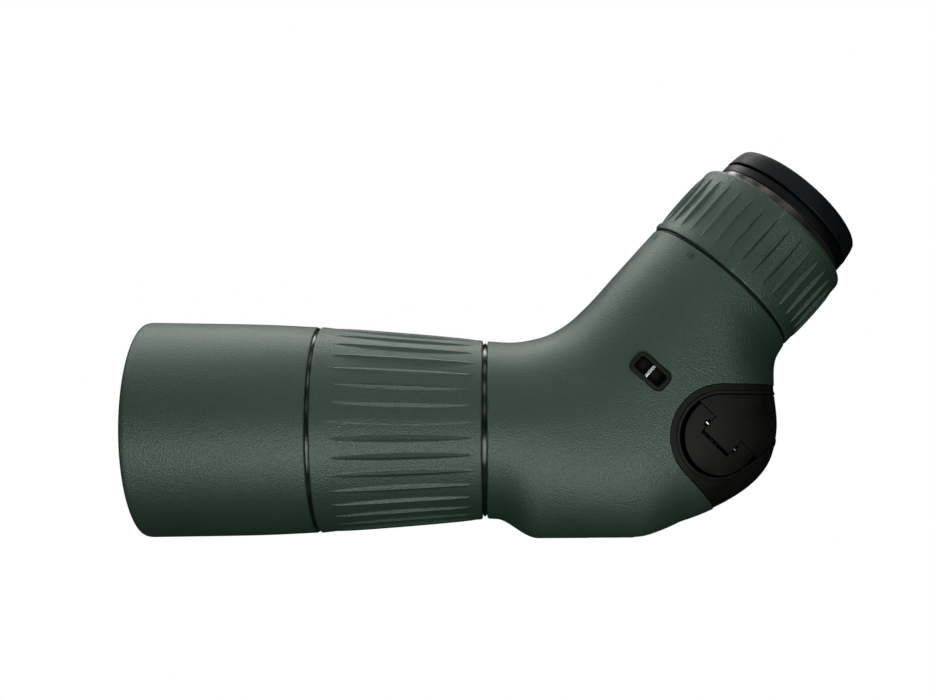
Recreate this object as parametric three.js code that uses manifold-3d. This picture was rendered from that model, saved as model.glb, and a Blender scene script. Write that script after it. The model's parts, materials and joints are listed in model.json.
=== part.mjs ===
// Angled spotting scope: a fixed objective section, a ribbed focus ring, a rubber-armoured body with
// a tripod foot, a strap lug and a folding strap tongue, and an angled eyepiece with a zoom ring and
// a twist-out eyecup. Millimetres, +Z up. The origin is the middle of the foot's bottom face, and +X
// runs from the objective towards the rear, so the objective points along -X.
import * as THREE from "three";
import { mergeVertices } from "three/addons/utils/BufferGeometryUtils.js";
import Module from "manifold-3d";

const wasm = await Module();
wasm.setup();

// ---- Driving dimensions ----

const AXIS_Z = 42; // height of the optical axis
const ELBOW_X = 2.4; // where the ocular axis leaves the optical axis
const OCULAR_TILT = THREE.MathUtils.degToRad(48);

// Stations along the optical axis.
const FRONT_X = -174;
const OBJECTIVE_END_X = -106;
const FOCUS_START_X = -104.7;
const FOCUS_END_X = -40.8;
const BODY_START_X = -39;

// Stations along the ocular axis, counted from the elbow.
const BODY_END_A = 75.8;
const ZOOM_START_A = 76.8;
const ZOOM_END_A = 108;
const COLLAR_END_A = 111.2;
const SEAT_END_A = 114.6;
const CUP_START_A = 115.4;
const CUP_END_A = 123;

// Outer radii.
const RIM_R = 42.75;
const OBJECTIVE_END_R = 41;
const FOCUS_START_R = 41;
const FOCUS_END_R = 35.7;
const BODY_START_R = 35.4;
const BODY_MIDDLE_R = 35;
const BODY_END_R = 34.2;
const ZOOM_R = 34.2;
const CUP_R = 30.2;

// Walls and clearances.
const GAP = 0.3; // between pieces fixed to each other
const RUNNING_GAP = 0.4; // between pieces that move past each other
const ARMOUR_WALL = 3;
const CASTING_WALL = 1.3;

// Travel of the moving parts.
const FOCUS_TURN = THREE.MathUtils.degToRad(150);
const FOCUS_TRAVEL = 6;
const ZOOM_TURN = THREE.MathUtils.degToRad(60);
const ZOOM_TRAVEL = 3;

const OUTER_SIDES = 32;
const INNER_SIDES = 24;
const RIBS = 36;
const RIB_HEIGHT = 0.75;
const SCOOP = 0.5; // depth of the hollows between the ribs at mid-length
const ARC_STEPS = 9;
const CORNER_STEPS = 2;

// ---- Materials ----

function finish(colour, roughness, metalness) {
  return new THREE.MeshStandardMaterial({ color: colour, roughness, metalness, flatShading: true });
}

const GREEN_RUBBER = finish("#3f5149", 0.8, 0);
const BLACK_RUBBER = finish("#161817", 0.75, 0);
const BLACK_METAL = finish("#1c1c1c", 0.4, 0.8);
const BRONZE_METAL = finish("#3a3431", 0.35, 0.9);
const CAST_METAL = finish("#8b8f91", 0.5, 0.9);
const STEEL = finish("#c8cbce", 0.2, 1);
const GLASS = finish("#9fb6b0", 0.05, 0);
const LOW_FRICTION = finish("#d8d6cc", 0.5, 0);

// ---- Solids ----

// A closed three.js geometry as a solid with its faces pointing out.
function solidOf(geometry) {
  const bare = geometry.clone();
  bare.deleteAttribute("normal");
  bare.deleteAttribute("uv");
  const merged = mergeVertices(bare, 1e-4);
  const triVerts = new Uint32Array(merged.index.array);
  const vertProperties = new Float32Array(merged.attributes.position.array);
  const made = new wasm.Manifold(new wasm.Mesh({ numProp: 3, vertProperties, triVerts }));
  if (made.volume() > 0) return made;
  return new wasm.Manifold(new wasm.Mesh({ numProp: 3, vertProperties, triVerts: triVerts.reverse() }));
}

function geometryOf(solid) {
  const mesh = solid.getMesh();
  const geometry = new THREE.BufferGeometry();
  geometry.setAttribute("position", new THREE.BufferAttribute(mesh.vertProperties, 3));
  geometry.setIndex(new THREE.BufferAttribute(mesh.triVerts, 1));
  return geometry;
}

function addPart(group, name, solid, material) {
  const mesh = new THREE.Mesh(geometryOf(solid), material);
  mesh.name = name;
  group.add(mesh);
}

// A body of revolution about Y from [radius, height] points. The profile closes on itself, unless it
// starts on the axis, where it also has to end.
function turned(profile, sides = INNER_SIDES) {
  const points = profile.map(([radius, height]) => new THREE.Vector2(radius, height));
  if (profile[0][0] > 0) points.push(points[0].clone());
  return solidOf(new THREE.LatheGeometry(points, sides));
}

function tube(inner, outer, from, to, sides = INNER_SIDES) {
  return turned([[inner, from], [outer, from], [outer, to], [inner, to]], sides);
}

// A lens with parabolic faces: the edge runs between two stations and each face bulges from it.
function lens(radius, from, to, frontBulge, backBulge) {
  const steps = [0, 0.6, 1];
  const front = steps.map((s) => [s * radius, from - frontBulge * (1 - s * s)]);
  const back = steps.map((s) => [s * radius, to + backBulge * (1 - s * s)]).reverse();
  return turned([...front, ...back]);
}

// A round bar between two points.
function bar(start, end, radius, sides = 8) {
  const along = end.clone().sub(start);
  const geometry = new THREE.CylinderGeometry(radius, radius, along.length(), sides);
  const turn = new THREE.Quaternion().setFromUnitVectors(
    new THREE.Vector3(0, 1, 0),
    along.normalize(),
  );
  geometry.applyQuaternion(turn);
  const middle = start.clone().add(end).multiplyScalar(0.5);
  return solidOf(geometry.translate(middle.x, middle.y, middle.z));
}

// A shape drawn in the side view (X, Z), turned about its own origin, moved to a centre and carried
// through the object from one Y to another.
function sidePrism(shape, fromY, toY, centre = new THREE.Vector3(), turn = 0) {
  const geometry = new THREE.ExtrudeGeometry(shape, {
    depth: toY - fromY,
    bevelEnabled: false,
    curveSegments: ARC_STEPS,
  });
  geometry.rotateX(Math.PI / 2);
  geometry.rotateY(turn);
  return solidOf(geometry.translate(centre.x, toY, centre.z));
}

function roundedRectangle(length, width, corner) {
  const x = length / 2;
  const y = width / 2;
  const shape = new THREE.Shape();
  shape.moveTo(-x + corner, -y);
  shape.lineTo(x - corner, -y);
  shape.absarc(x - corner, -y + corner, corner, -Math.PI / 2, 0);
  shape.absarc(x - corner, y - corner, corner, 0, Math.PI / 2);
  shape.absarc(-x + corner, y - corner, corner, Math.PI / 2, Math.PI);
  shape.absarc(-x + corner, -y + corner, corner, Math.PI, Math.PI * 1.5);
  return shape;
}

// A rounded block that stands on a horizontal plane.
function plate(length, width, corner, fromZ, toZ) {
  const geometry = new THREE.ExtrudeGeometry(roundedRectangle(length, width, corner), {
    depth: toZ - fromZ,
    bevelEnabled: false,
    curveSegments: CORNER_STEPS,
  });
  return solidOf(geometry.translate(0, 0, fromZ));
}

// The round channel that a drive pin follows through a turning ring: the pin stays at one azimuth
// and moves by travel while the ring turns from -turn to +turn.
function camChannel(radius, azimuth, station, turn, travel, cutter) {
  class Cam extends THREE.Curve {
    getPoint(t, target = new THREE.Vector3()) {
      const overrun = 1.06;
      const share = (2 * t - 1) * overrun;
      const angle = azimuth - share * turn;
      return target.set(
        radius * Math.sin(angle),
        station + share * travel,
        radius * Math.cos(angle),
      );
    }
  }
  const circle = new THREE.Shape().absarc(0, 0, cutter, 0, Math.PI * 2);
  const steps = Math.ceil((turn * 2) / THREE.MathUtils.degToRad(20));
  return solidOf(
    new THREE.ExtrudeGeometry(circle, { steps, extrudePath: new Cam(), curveSegments: 3 }),
  );
}

// A straight slot along the axis, through the wall of a tube at one azimuth.
function axialSlot(azimuth, innerR, outerR, from, to, halfWidth) {
  const geometry = new THREE.BoxGeometry(halfWidth * 2, to - from, outerR - innerR);
  geometry.translate(0, (from + to) / 2, (innerR + outerR) / 2);
  return solidOf(geometry.rotateY(azimuth));
}

function radialPin(azimuth, station, innerR, outerR, radius) {
  const direction = new THREE.Vector3(Math.sin(azimuth), 0, Math.cos(azimuth));
  const lift = new THREE.Vector3(0, station, 0);
  const start = direction.clone().multiplyScalar(innerR).add(lift);
  return bar(start, direction.multiplyScalar(outerR).add(lift), radius);
}

// A grip sleeve: a turned sleeve whose ribs are spindles that fade out towards both ends. Stations
// and radii give the outer profile, and the wall between is closed by the inner points.
function ribbedSleeve(outer, inner, ribFrom, ribTo, ribHeight) {
  const points = [...outer, ...inner, outer[0]].map(([r, y]) => new THREE.Vector2(r, y));
  const geometry = new THREE.LatheGeometry(points, RIBS * 2);
  const position = geometry.attributes.position;
  const ring = points.length;
  for (let i = 0; i < position.count; i++) {
    const onCrest = Math.floor(i / ring) % 2 === 1;
    const isOuter = i % ring < outer.length;
    const share = (position.getY(i) - ribFrom) / (ribTo - ribFrom);
    if (!onCrest || !isOuter || share <= 0 || share >= 1) continue;
    const radius = Math.hypot(position.getX(i), position.getZ(i));
    const scale = (radius + ribHeight * Math.sin(share * Math.PI)) / radius;
    position.setX(i, position.getX(i) * scale);
    position.setZ(i, position.getZ(i) * scale);
  }
  return solidOf(geometry);
}

// ---- Frames: local Y runs along the optical axis or the ocular axis, local Z points up ----

function axisGroup(x, tilt) {
  const tilted = new THREE.Group();
  tilted.position.set(x, 0, AXIS_Z);
  tilted.rotation.y = -tilt;
  const along = new THREE.Group();
  along.rotation.z = -Math.PI / 2;
  tilted.add(along);
  return { tilted, along };
}

const OCULAR_AXIS = new THREE.Vector3(Math.cos(OCULAR_TILT), 0, Math.sin(OCULAR_TILT));
const OCULAR_ACROSS = new THREE.Vector3(Math.sin(OCULAR_TILT), 0, -Math.cos(OCULAR_TILT));

// ---- Objective section, fixed ----

const GUIDE_R = 30.2; // outside of the fixed tube that the focus ring turns on

function objectiveArmour() {
  const bore = 38.6;
  const lip = 36.8;
  return turned(
    [
      [lip, FRONT_X],
      [RIM_R - 1.5, FRONT_X],
      [RIM_R - 0.4, FRONT_X + 0.5],
      [RIM_R, FRONT_X + 2],
      [42.4, -148],
      [42, -126],
      [OBJECTIVE_END_R, OBJECTIVE_END_X - 0.5],
      [OBJECTIVE_END_R - 0.4, OBJECTIVE_END_X],
      [bore, OBJECTIVE_END_X],
      [bore, FRONT_X + 1.1],
      [lip, FRONT_X + 1.1],
    ],
    OUTER_SIDES,
  );
}

const BARREL_BORE = 36.2;
const BARREL_FRONT_X = FRONT_X + 1.4;

function objectiveBarrel() {
  const flange = OBJECTIVE_END_X - 1.1;
  return turned(
    [
      [BARREL_BORE, BARREL_FRONT_X],
      [38.3, BARREL_FRONT_X],
      [38.3, flange],
      [GUIDE_R, flange],
      [GUIDE_R, flange - 2],
      [BARREL_BORE, flange - 4],
    ],
    OUTER_SIDES,
  );
}

// The bezel's stepped cone stops stray light in front of the glass.
function frontBezel() {
  const back = -163.4;
  return turned([
    [31.8, back],
    [35.9, back],
    [35.9, BARREL_FRONT_X + 0.4],
    [34.9, BARREL_FRONT_X + 0.4],
    [34.4, -169],
    [33.2, -168.6],
    [32.8, -165.6],
    [31.8, -165.2],
  ]);
}

function lensCell() {
  const groove = 34.6;
  return turned([
    [31.4, -163],
    [35.8, -163],
    [35.8, -151.6],
    [groove, -151.6],
    [groove, -148.8],
    [35.8, -148.8],
    [35.8, -140],
    [29.6, -140],
    [29.6, -142],
    [31.4, -142],
  ]);
}

function oRing(majorR, minorR, station) {
  const geometry = new THREE.TorusGeometry(majorR, minorR, 6, INNER_SIDES);
  geometry.rotateX(Math.PI / 2);
  return solidOf(geometry.translate(0, station, 0));
}

function frontTrimRing() {
  return tube(30.7, 40.3, OBJECTIVE_END_X + 0.25, FOCUS_START_X - RUNNING_GAP, OUTER_SIDES);
}

function addObjective(along) {
  addPart(along, "objective_armour", objectiveArmour(), GREEN_RUBBER);
  addPart(along, "objective_barrel", objectiveBarrel(), BLACK_METAL);
  addPart(along, "front_bezel", frontBezel(), BLACK_METAL);
  addPart(along, "lens_cell", lensCell(), BLACK_METAL);
  addPart(along, "lens_retaining_ring", tube(29.4, 31.1, -162.8, -160.6), BLACK_METAL);
  addPart(along, "objective_lens_front", lens(31.1, -160.3, -154.2, 2, 1.2), GLASS);
  addPart(along, "lens_spacer_front", tube(30, 31.1, -153.9, -152.2), BLACK_METAL);
  addPart(along, "objective_lens_middle", lens(31.1, -151.9, -147.6, 0, 1), GLASS);
  addPart(along, "lens_spacer_rear", tube(30, 31.1, -147.3, -145.9), BLACK_METAL);
  addPart(along, "objective_lens_rear", lens(31.1, -145.6, -142.3, 0.6, 0), GLASS);
  addPart(along, "objective_o_ring", oRing(35.4, 0.5, -150.2), BLACK_RUBBER);
  addPart(along, "front_trim_ring", frontTrimRing(), BLACK_METAL);
}

// ---- Focus ring and the lens cell that it drives ----

const FOCUS_CELL_X = -76;
const FOCUS_CAM = { inner: 30.6, outer: 32.4, from: -100.4, to: -60.4 };
const DRIVE_PIN_R = 0.9;
const CUTTER_R = 1.6;

function focusGripSleeve() {
  const ribFrom = FOCUS_START_X + 7;
  const ribTo = FOCUS_END_X - 3.2;
  const outerAt = (x) => {
    const share = (x - FOCUS_START_X) / (FOCUS_END_X - FOCUS_START_X);
    return THREE.MathUtils.lerp(FOCUS_START_R, FOCUS_END_R, share) - SCOOP * Math.sin(share * Math.PI);
  };
  const stations = [0, 0.4, 0.7, 1].map((s) => THREE.MathUtils.lerp(ribFrom, ribTo, s));
  const outer = [
    [FOCUS_START_R - 0.4, FOCUS_START_X],
    [FOCUS_START_R, FOCUS_START_X + 0.5],
    ...stations.map((x) => [outerAt(x), x]),
    [FOCUS_END_R, FOCUS_END_X - 0.5],
    [FOCUS_END_R - 0.4, FOCUS_END_X],
  ];
  const inner = [
    [32.9, FOCUS_END_X],
    [37.9, FOCUS_START_X],
  ];
  return ribbedSleeve(outer, inner, ribFrom, ribTo, RIB_HEIGHT);
}

function focusRingCore() {
  const bore = FOCUS_CAM.outer + GAP;
  const land = GUIDE_R + RUNNING_GAP;
  return turned([
    [bore, FOCUS_START_X + 0.4],
    [37.5, FOCUS_START_X + 0.4],
    [32.55, FOCUS_END_X - 0.4],
    [land, FOCUS_END_X - 0.4],
    [land, FOCUS_CAM.to + GAP],
    [bore, FOCUS_CAM.to + GAP],
  ]);
}

function focusCamRing() {
  const middle = (FOCUS_CAM.inner + FOCUS_CAM.outer) / 2;
  return [0, Math.PI].reduce(
    (ring, azimuth) =>
      ring.subtract(
        camChannel(middle, azimuth, FOCUS_CELL_X, FOCUS_TURN, FOCUS_TRAVEL, CUTTER_R),
      ),
    tube(FOCUS_CAM.inner, FOCUS_CAM.outer, FOCUS_CAM.from, FOCUS_CAM.to),
  );
}

const GUIDE_BORE = 28.2;

function focusGuideTube() {
  const reach = FOCUS_TRAVEL + DRIVE_PIN_R + 1;
  return [0, Math.PI].reduce(
    (wall, azimuth) =>
      wall.subtract(
        axialSlot(azimuth, GUIDE_BORE - 2, GUIDE_R + 2, FOCUS_CELL_X - reach, FOCUS_CELL_X + reach, 1.4),
      ),
    tube(GUIDE_BORE, GUIDE_R, OBJECTIVE_END_X - 0.8, BODY_START_X + 3),
  );
}

// A sliding cell with a ledge for its lens and a radial hole for each drive pin.
function slidingCell(outerR, station, length, lensR, pinAzimuths) {
  const front = station - length / 2;
  const back = station + length / 2;
  const cell = turned([
    [lensR - 2, front],
    [outerR, front],
    [outerR, back],
    [lensR + GAP, back],
    [lensR + GAP, front + 1.6],
    [lensR - 2, front + 1.6],
  ]);
  return pinAzimuths.reduce(
    (solid, azimuth) =>
      solid.subtract(radialPin(azimuth, station, lensR - 1, outerR + 1, DRIVE_PIN_R + GAP)),
    cell,
  );
}

function addFocus(along) {
  addPart(along, "focus_grip_sleeve", focusGripSleeve(), GREEN_RUBBER);
  addPart(along, "focus_ring_core", focusRingCore(), BLACK_METAL);
  addPart(along, "focus_cam_ring", focusCamRing(), CAST_METAL);
  addPart(along, "focus_guide_tube", focusGuideTube(), BLACK_METAL);
  addPart(along, "focus_bearing_ring", tube(30.6, 32.4, -104, -100.8), LOW_FRICTION);
  addPart(along, "focus_lens_cell", slidingCell(27.7, FOCUS_CELL_X, 15, 24, [0, Math.PI]), BLACK_METAL);
  addPart(along, "focus_lens", lens(24, FOCUS_CELL_X - 5.6, FOCUS_CELL_X - 2, 1, 1.6), GLASS);
  addPart(along, "focus_drive_pin_a", radialPin(0, FOCUS_CELL_X, 24.6, 32.2, DRIVE_PIN_R), STEEL);
  addPart(along, "focus_drive_pin_b", radialPin(Math.PI, FOCUS_CELL_X, 24.6, 32.2, DRIVE_PIN_R), STEEL);
  addPart(along, "rear_trim_ring", tube(30.6, 34.5, -40.4, -39.4, OUTER_SIDES), BLACK_METAL);
}

// ---- Body ----

// Side outline as matching [x, z] points of the top and the bottom, from the focus ring round the
// elbow to the end of the ocular tube, with the fullness of the section there (2 is an ellipse).
const SECTIONS = [
  { top: [BODY_START_X, AXIS_Z + BODY_START_R], bottom: [BODY_START_X, AXIS_Z - BODY_START_R], power: 2 },
  { top: [-29, 76.9], bottom: [-26, 5.9], power: 2 },
  { top: [-21, 78], bottom: [-8, 5], power: 2.1 },
  { top: [-14, 80.2], bottom: [14, 3], power: 2.2 },
  { top: [-7, 84.4], bottom: [38, 5.8], power: 2.3 },
  { top: [-1, 89.7], bottom: [59, 15.2], power: 2.4 },
  { top: [4.5, 95.4], bottom: [71.4, 26.6], power: 2.4 },
  { top: [10.5, 102.2], bottom: [75.5, 41], power: 2.3 },
  { top: [18, 110.5], bottom: [74.4, 58], power: 2.1 },
  { top: [22.8, 115.8], bottom: [75, 68.4], power: 2 },
  { top: null, bottom: null, power: 2 },
];
const BODY_SIDES = 28;
const BODY_RINGS = 14;

// The last section closes the ocular tube, square to its axis.
function endPoint(side) {
  return new THREE.Vector3(ELBOW_X, 0, AXIS_Z)
    .addScaledVector(OCULAR_AXIS, BODY_END_A)
    .addScaledVector(OCULAR_ACROSS, -side * BODY_END_R);
}

function outlineCurve(key, side) {
  const points = SECTIONS.map(({ [key]: place }) =>
    place ? new THREE.Vector3(place[0], 0, place[1]) : endPoint(side),
  );
  return new THREE.CatmullRomCurve3(points, false, "catmullrom", 0.5);
}

const TOP_CURVE = outlineCurve("top", 1);
const BOTTOM_CURVE = outlineCurve("bottom", -1);

function sectionPower(t) {
  const place = t * (SECTIONS.length - 1);
  const index = Math.min(Math.floor(place), SECTIONS.length - 2);
  return THREE.MathUtils.lerp(SECTIONS[index].power, SECTIONS[index + 1].power, place - index);
}

function halfWidth(t) {
  return t < 0.5
    ? THREE.MathUtils.lerp(BODY_START_R, BODY_MIDDLE_R, t * 2)
    : THREE.MathUtils.lerp(BODY_MIDDLE_R, BODY_END_R, t * 2 - 1);
}

// One cross-section: a superellipse between the top and bottom points, drawn in by inset.
function bodyRing(t, inset) {
  const top = TOP_CURVE.getPoint(t);
  const bottom = BOTTOM_CURVE.getPoint(t);
  const up = top.clone().sub(bottom).normalize();
  const middle = top.clone().add(bottom).multiplyScalar(0.5);
  const height = top.distanceTo(bottom) / 2 - inset;
  const width = halfWidth(t) - inset;
  const fullness = 2 / sectionPower(t);
  return Array.from({ length: BODY_SIDES }, (_, i) => {
    const angle = (i / BODY_SIDES) * Math.PI * 2;
    const c = Math.cos(angle);
    const s = Math.sin(angle);
    const point = middle.clone().addScaledVector(up, Math.sign(c) * Math.abs(c) ** fullness * height);
    return point.setY(Math.sign(s) * Math.abs(s) ** fullness * width);
  });
}

// A closed skin over rings of points, with flat ends.
function loft(rings) {
  const count = rings[0].length;
  const last = (rings.length - 1) * count;
  const index = [];
  for (let i = 0; i < last; i += count) {
    for (let j = 0; j < count; j++) {
      const next = (j + 1) % count;
      index.push(i + j, i + next, i + count + j);
      index.push(i + next, i + count + next, i + count + j);
    }
  }
  for (let j = 1; j + 1 < count; j++) {
    index.push(0, j + 1, j);
    index.push(last, last + j, last + j + 1);
  }
  const coordinates = rings.flat().flatMap((point) => point.toArray());
  const geometry = new THREE.BufferGeometry();
  geometry.setAttribute("position", new THREE.Float32BufferAttribute(coordinates, 3));
  geometry.setIndex(index);
  return geometry;
}

// The body's outside drawn in by inset, run on past both ends by overrun so that it can cut them open.
function bodySkin(inset, overrun = 0) {
  const rings = Array.from({ length: BODY_RINGS }, (_, i) => bodyRing(i / (BODY_RINGS - 1), inset));
  if (overrun > 0) {
    const shift = (ring, direction, by) => ring.map((p) => p.clone().addScaledVector(direction, by));
    rings.unshift(shift(rings[0], new THREE.Vector3(1, 0, 0), -overrun));
    rings.push(shift(rings[rings.length - 1], OCULAR_AXIS, overrun));
  }
  return loft(rings);
}

const OUTSIDE = solidOf(bodySkin(0));
const ARMOUR_INSIDE = solidOf(bodySkin(ARMOUR_WALL, 2));

function armourShell(from, to) {
  return solidOf(bodySkin(from)).subtract(solidOf(bodySkin(to, 2)));
}

// Y of the body's near side at a point of the side view.
const SKIN_MESH = new THREE.Mesh(bodySkin(0), new THREE.MeshBasicMaterial({ side: THREE.DoubleSide }));

function nearSideY(x, z) {
  const ray = new THREE.Raycaster(new THREE.Vector3(x, -200, z), new THREE.Vector3(0, 1, 0));
  return ray.intersectObject(SKIN_MESH)[0].point.y;
}

// ---- Tripod foot ----

const PAD = { length: 43, width: 34 };
const PLATE = { length: 38, width: 26, corner: 4, top: 4.5 };
const BOSS_TOP = 9.6;
const SCREW_AT = { x: 15, y: 8.5 };
const BUSH_X = -8;
const PIN_HOLE_X = 8;

// The armour's foot pad: a side outline and a drafted front outline, crossed.
function footPad() {
  const side = new THREE.Shape();
  side.moveTo(-34, 12);
  side.lineTo(-34, 7);
  side.quadraticCurveTo(-29, 6, -26.5, 2.6);
  side.quadraticCurveTo(-25, 0, -PAD.length / 2, 0);
  side.lineTo(PAD.length / 2 - 1, 0);
  side.lineTo(24, 1);
  side.lineTo(38, 5.4);
  side.lineTo(38, 12);
  const front = new THREE.Shape();
  front.moveTo(-PAD.width / 2, 0);
  front.lineTo(PAD.width / 2, 0);
  front.lineTo(PAD.width / 2 - 1, 13);
  front.lineTo(-PAD.width / 2 + 1, 13);
  const across = new THREE.ExtrudeGeometry(front, { depth: 100, bevelEnabled: false });
  across.rotateX(Math.PI / 2);
  across.rotateZ(Math.PI / 2);
  across.translate(-50, 0, 0);
  return sidePrism(side, -30, 30).intersect(solidOf(across));
}

function screwPlaces() {
  const places = [];
  for (const x of [-SCREW_AT.x, SCREW_AT.x]) {
    for (const y of [-SCREW_AT.y, SCREW_AT.y]) places.push([x, y]);
  }
  return places;
}

function uprightCylinder(x, y, radius, fromZ, toZ) {
  return bar(new THREE.Vector3(x, y, fromZ), new THREE.Vector3(x, y, toZ), radius);
}

function footPlate() {
  let solid = plate(PLATE.length, PLATE.width, PLATE.corner, 0, PLATE.top);
  for (const [x, y] of screwPlaces()) {
    solid = solid.subtract(uprightCylinder(x, y, 1.8, -1, PLATE.top + 1));
    solid = solid.subtract(uprightCylinder(x, y, 3.1, -1, 2.6));
  }
  solid = solid.subtract(uprightCylinder(BUSH_X, 0, 5.8, -1, PLATE.top + 1));
  return solid.subtract(uprightCylinder(PIN_HOLE_X, 0, 2.2, -1, 3));
}

function footScrew(x, y) {
  const head = uprightCylinder(x, y, 2.8, 0.5, 2.3);
  const socket = uprightCylinder(x, y, 1.3, 0, 1.5);
  return head.add(uprightCylinder(x, y, 1.5, 2, 8.2)).subtract(socket);
}

function threadBush() {
  return uprightCylinder(BUSH_X, 0, 5.5, 0.2, 7.8).subtract(uprightCylinder(BUSH_X, 0, 3.2, -1, 6.8));
}

function addTripodFoot(group) {
  addPart(group, "tripod_foot_plate", footPlate(), CAST_METAL);
  addPart(group, "tripod_thread_bush", threadBush(), STEEL);
  screwPlaces().forEach(([x, y], i) => addPart(group, `foot_screw_${i + 1}`, footScrew(x, y), STEEL));
}

// ---- Strap lug on the near side ----

const LUG = { centre: new THREE.Vector3(21.9, 0, 63.8), length: 16, width: 8.9, corner: 3, depth: 6.2 };
const ACROSS_TURN = Math.PI / 2 - OCULAR_TILT; // lays a long side square to the ocular axis
const LUG_Y = nearSideY(LUG.centre.x, LUG.centre.z);

function lugPrism(grow, fromY, toY) {
  const shape = roundedRectangle(LUG.length + 2 * grow, LUG.width + 2 * grow, LUG.corner + grow);
  return sidePrism(shape, fromY, toY, LUG.centre, ACROSS_TURN);
}

function lugPin(radius, halfLength) {
  const middle = LUG.centre.clone().setY(LUG_Y + 1.7);
  return bar(
    middle.clone().addScaledVector(OCULAR_AXIS, -halfLength),
    middle.clone().addScaledVector(OCULAR_AXIS, halfLength),
    radius,
  );
}

function lugCup() {
  const rim = -1.4;
  const opening = lugPrism(rim, LUG_Y - 5, LUG_Y + LUG.depth - 1);
  return lugPrism(0, LUG_Y - 0.3, LUG_Y + LUG.depth).subtract(opening).subtract(lugPin(1.25, 4));
}

// ---- Rear bumper, swivel disc and strap tongue ----

const DISC = { centre: new THREE.Vector3(48.6, 0, 39.8), radius: 15.2 };
const BUMPER_R = 19.6;
const POCKET_R = 15.8;
const SEAM = 4; // from the hinge pin to the tongue's front edge
const TAB = { halfWidth: 7, reach: 2.9 };
const PIN_DEPTH = 1.7;
const PIN_HALF = 8.4;

// A circle about the disc's centre with two straight edges that leave it for the rear: the upper
// one level, the lower one falling or rising at the given angle.
function teardrop(radius, lowerAngle) {
  const { x, z } = DISC.centre;
  const far = 34;
  const normal = lowerAngle - Math.PI / 2;
  const touch = [x + radius * Math.cos(normal), z + radius * Math.sin(normal)];
  const shape = new THREE.Shape();
  shape.moveTo(x, z + radius);
  shape.lineTo(x + far, z + radius);
  shape.lineTo(x + far, touch[1] + (x + far - touch[0]) * Math.tan(lowerAngle));
  shape.lineTo(touch[0], touch[1]);
  shape.absarc(x, z, radius, normal, -Math.PI * 1.5, true);
  return shape;
}

const BUMPER_EDGE = THREE.MathUtils.degToRad(-45);
const POCKET_EDGE = THREE.MathUtils.degToRad(34);

// The hinge pin lies just under the skin, parallel to the chord between the skin at its two ends.
function hingeLine() {
  const onSkin = (along) => {
    const point = DISC.centre.clone().addScaledVector(OCULAR_ACROSS, along);
    return point.setY(nearSideY(point.x, point.z));
  };
  const direction = onSkin(PIN_HALF).sub(onSkin(-PIN_HALF)).normalize();
  return { middle: onSkin(0).add(new THREE.Vector3(0, PIN_DEPTH, 0)), direction };
}

const HINGE = hingeLine();

function hingePin(radius, halfLength) {
  return bar(
    HINGE.middle.clone().addScaledVector(HINGE.direction, -halfLength),
    HINGE.middle.clone().addScaledVector(HINGE.direction, halfLength),
    radius,
  );
}

// A block about the hinge pin whose sides are square to the pin, so that a tab cut by it keeps its
// place between its neighbours as it turns.
function tabBlock(acrossHalf, aheadFrom, aheadTo) {
  const depth = 24;
  const geometry = new THREE.BoxGeometry(acrossHalf * 2, aheadTo - aheadFrom, depth);
  geometry.translate(0, (aheadFrom + aheadTo) / 2, 0);
  const third = HINGE.direction.clone().cross(OCULAR_AXIS);
  geometry.applyMatrix4(new THREE.Matrix4().makeBasis(HINGE.direction, OCULAR_AXIS, third));
  return solidOf(geometry.translate(HINGE.middle.x, HINGE.middle.y, HINGE.middle.z));
}

// A block in the disc's own directions: across along the pin, ahead towards the tongue.
function discBlock(acrossHalf, aheadFrom, aheadTo, fromY, toY) {
  const shape = new THREE.Shape();
  shape.moveTo(-acrossHalf, aheadFrom);
  shape.lineTo(acrossHalf, aheadFrom);
  shape.lineTo(acrossHalf, aheadTo);
  shape.lineTo(-acrossHalf, aheadTo);
  return sidePrism(shape, fromY, toY, DISC.centre, ACROSS_TURN);
}

const REAR_SPLIT_Y = -2.6; // the tongue's pocket stops short of the middle of the rear

function rearBumper() {
  const pad = armourShell(0, ARMOUR_WALL).intersect(sidePrism(teardrop(BUMPER_R, BUMPER_EDGE), -50, 50));
  return pad.subtract(sidePrism(teardrop(POCKET_R, POCKET_EDGE), -50, REAR_SPLIT_Y));
}

function swivelDisc() {
  const round = new THREE.Shape().absarc(0, 0, DISC.radius, 0, Math.PI * 2);
  return armourShell(0.4, ARMOUR_WALL)
    .intersect(sidePrism(round, -50, -10, DISC.centre))
    .subtract(discBlock(20, SEAM - GAP, 30, -50, -10))
    .subtract(tabBlock(TAB.halfWidth + GAP, -TAB.reach - 1, SEAM))
    .subtract(hingePin(0.9, PIN_HALF + 0.5));
}

function strapTongue() {
  const flap = sidePrism(teardrop(POCKET_R - RUNNING_GAP, POCKET_EDGE), -50, REAR_SPLIT_Y - RUNNING_GAP)
    .intersect(discBlock(40, SEAM, 60, -50, 0));
  const tab = tabBlock(TAB.halfWidth, -TAB.reach, SEAM + 1);
  return armourShell(0.3, ARMOUR_WALL - 0.1).intersect(flap.add(tab)).subtract(hingePin(0.95, 20));
}

function addStrapFittings(group) {
  addPart(group, "strap_lug_cup", lugCup(), BLACK_RUBBER);
  addPart(group, "strap_lug_pin", lugPin(0.95, 3.7), STEEL);
  addPart(group, "rear_bumper", rearBumper(), BLACK_RUBBER);
  addPart(group, "swivel_disc", swivelDisc(), BLACK_RUBBER);
  addPart(group, "strap_tongue", strapTongue(), BLACK_RUBBER);
  addPart(group, "tongue_hinge_pin", hingePin(0.65, PIN_HALF), STEEL);
}

// ---- Armour, casting and prism ----

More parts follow.
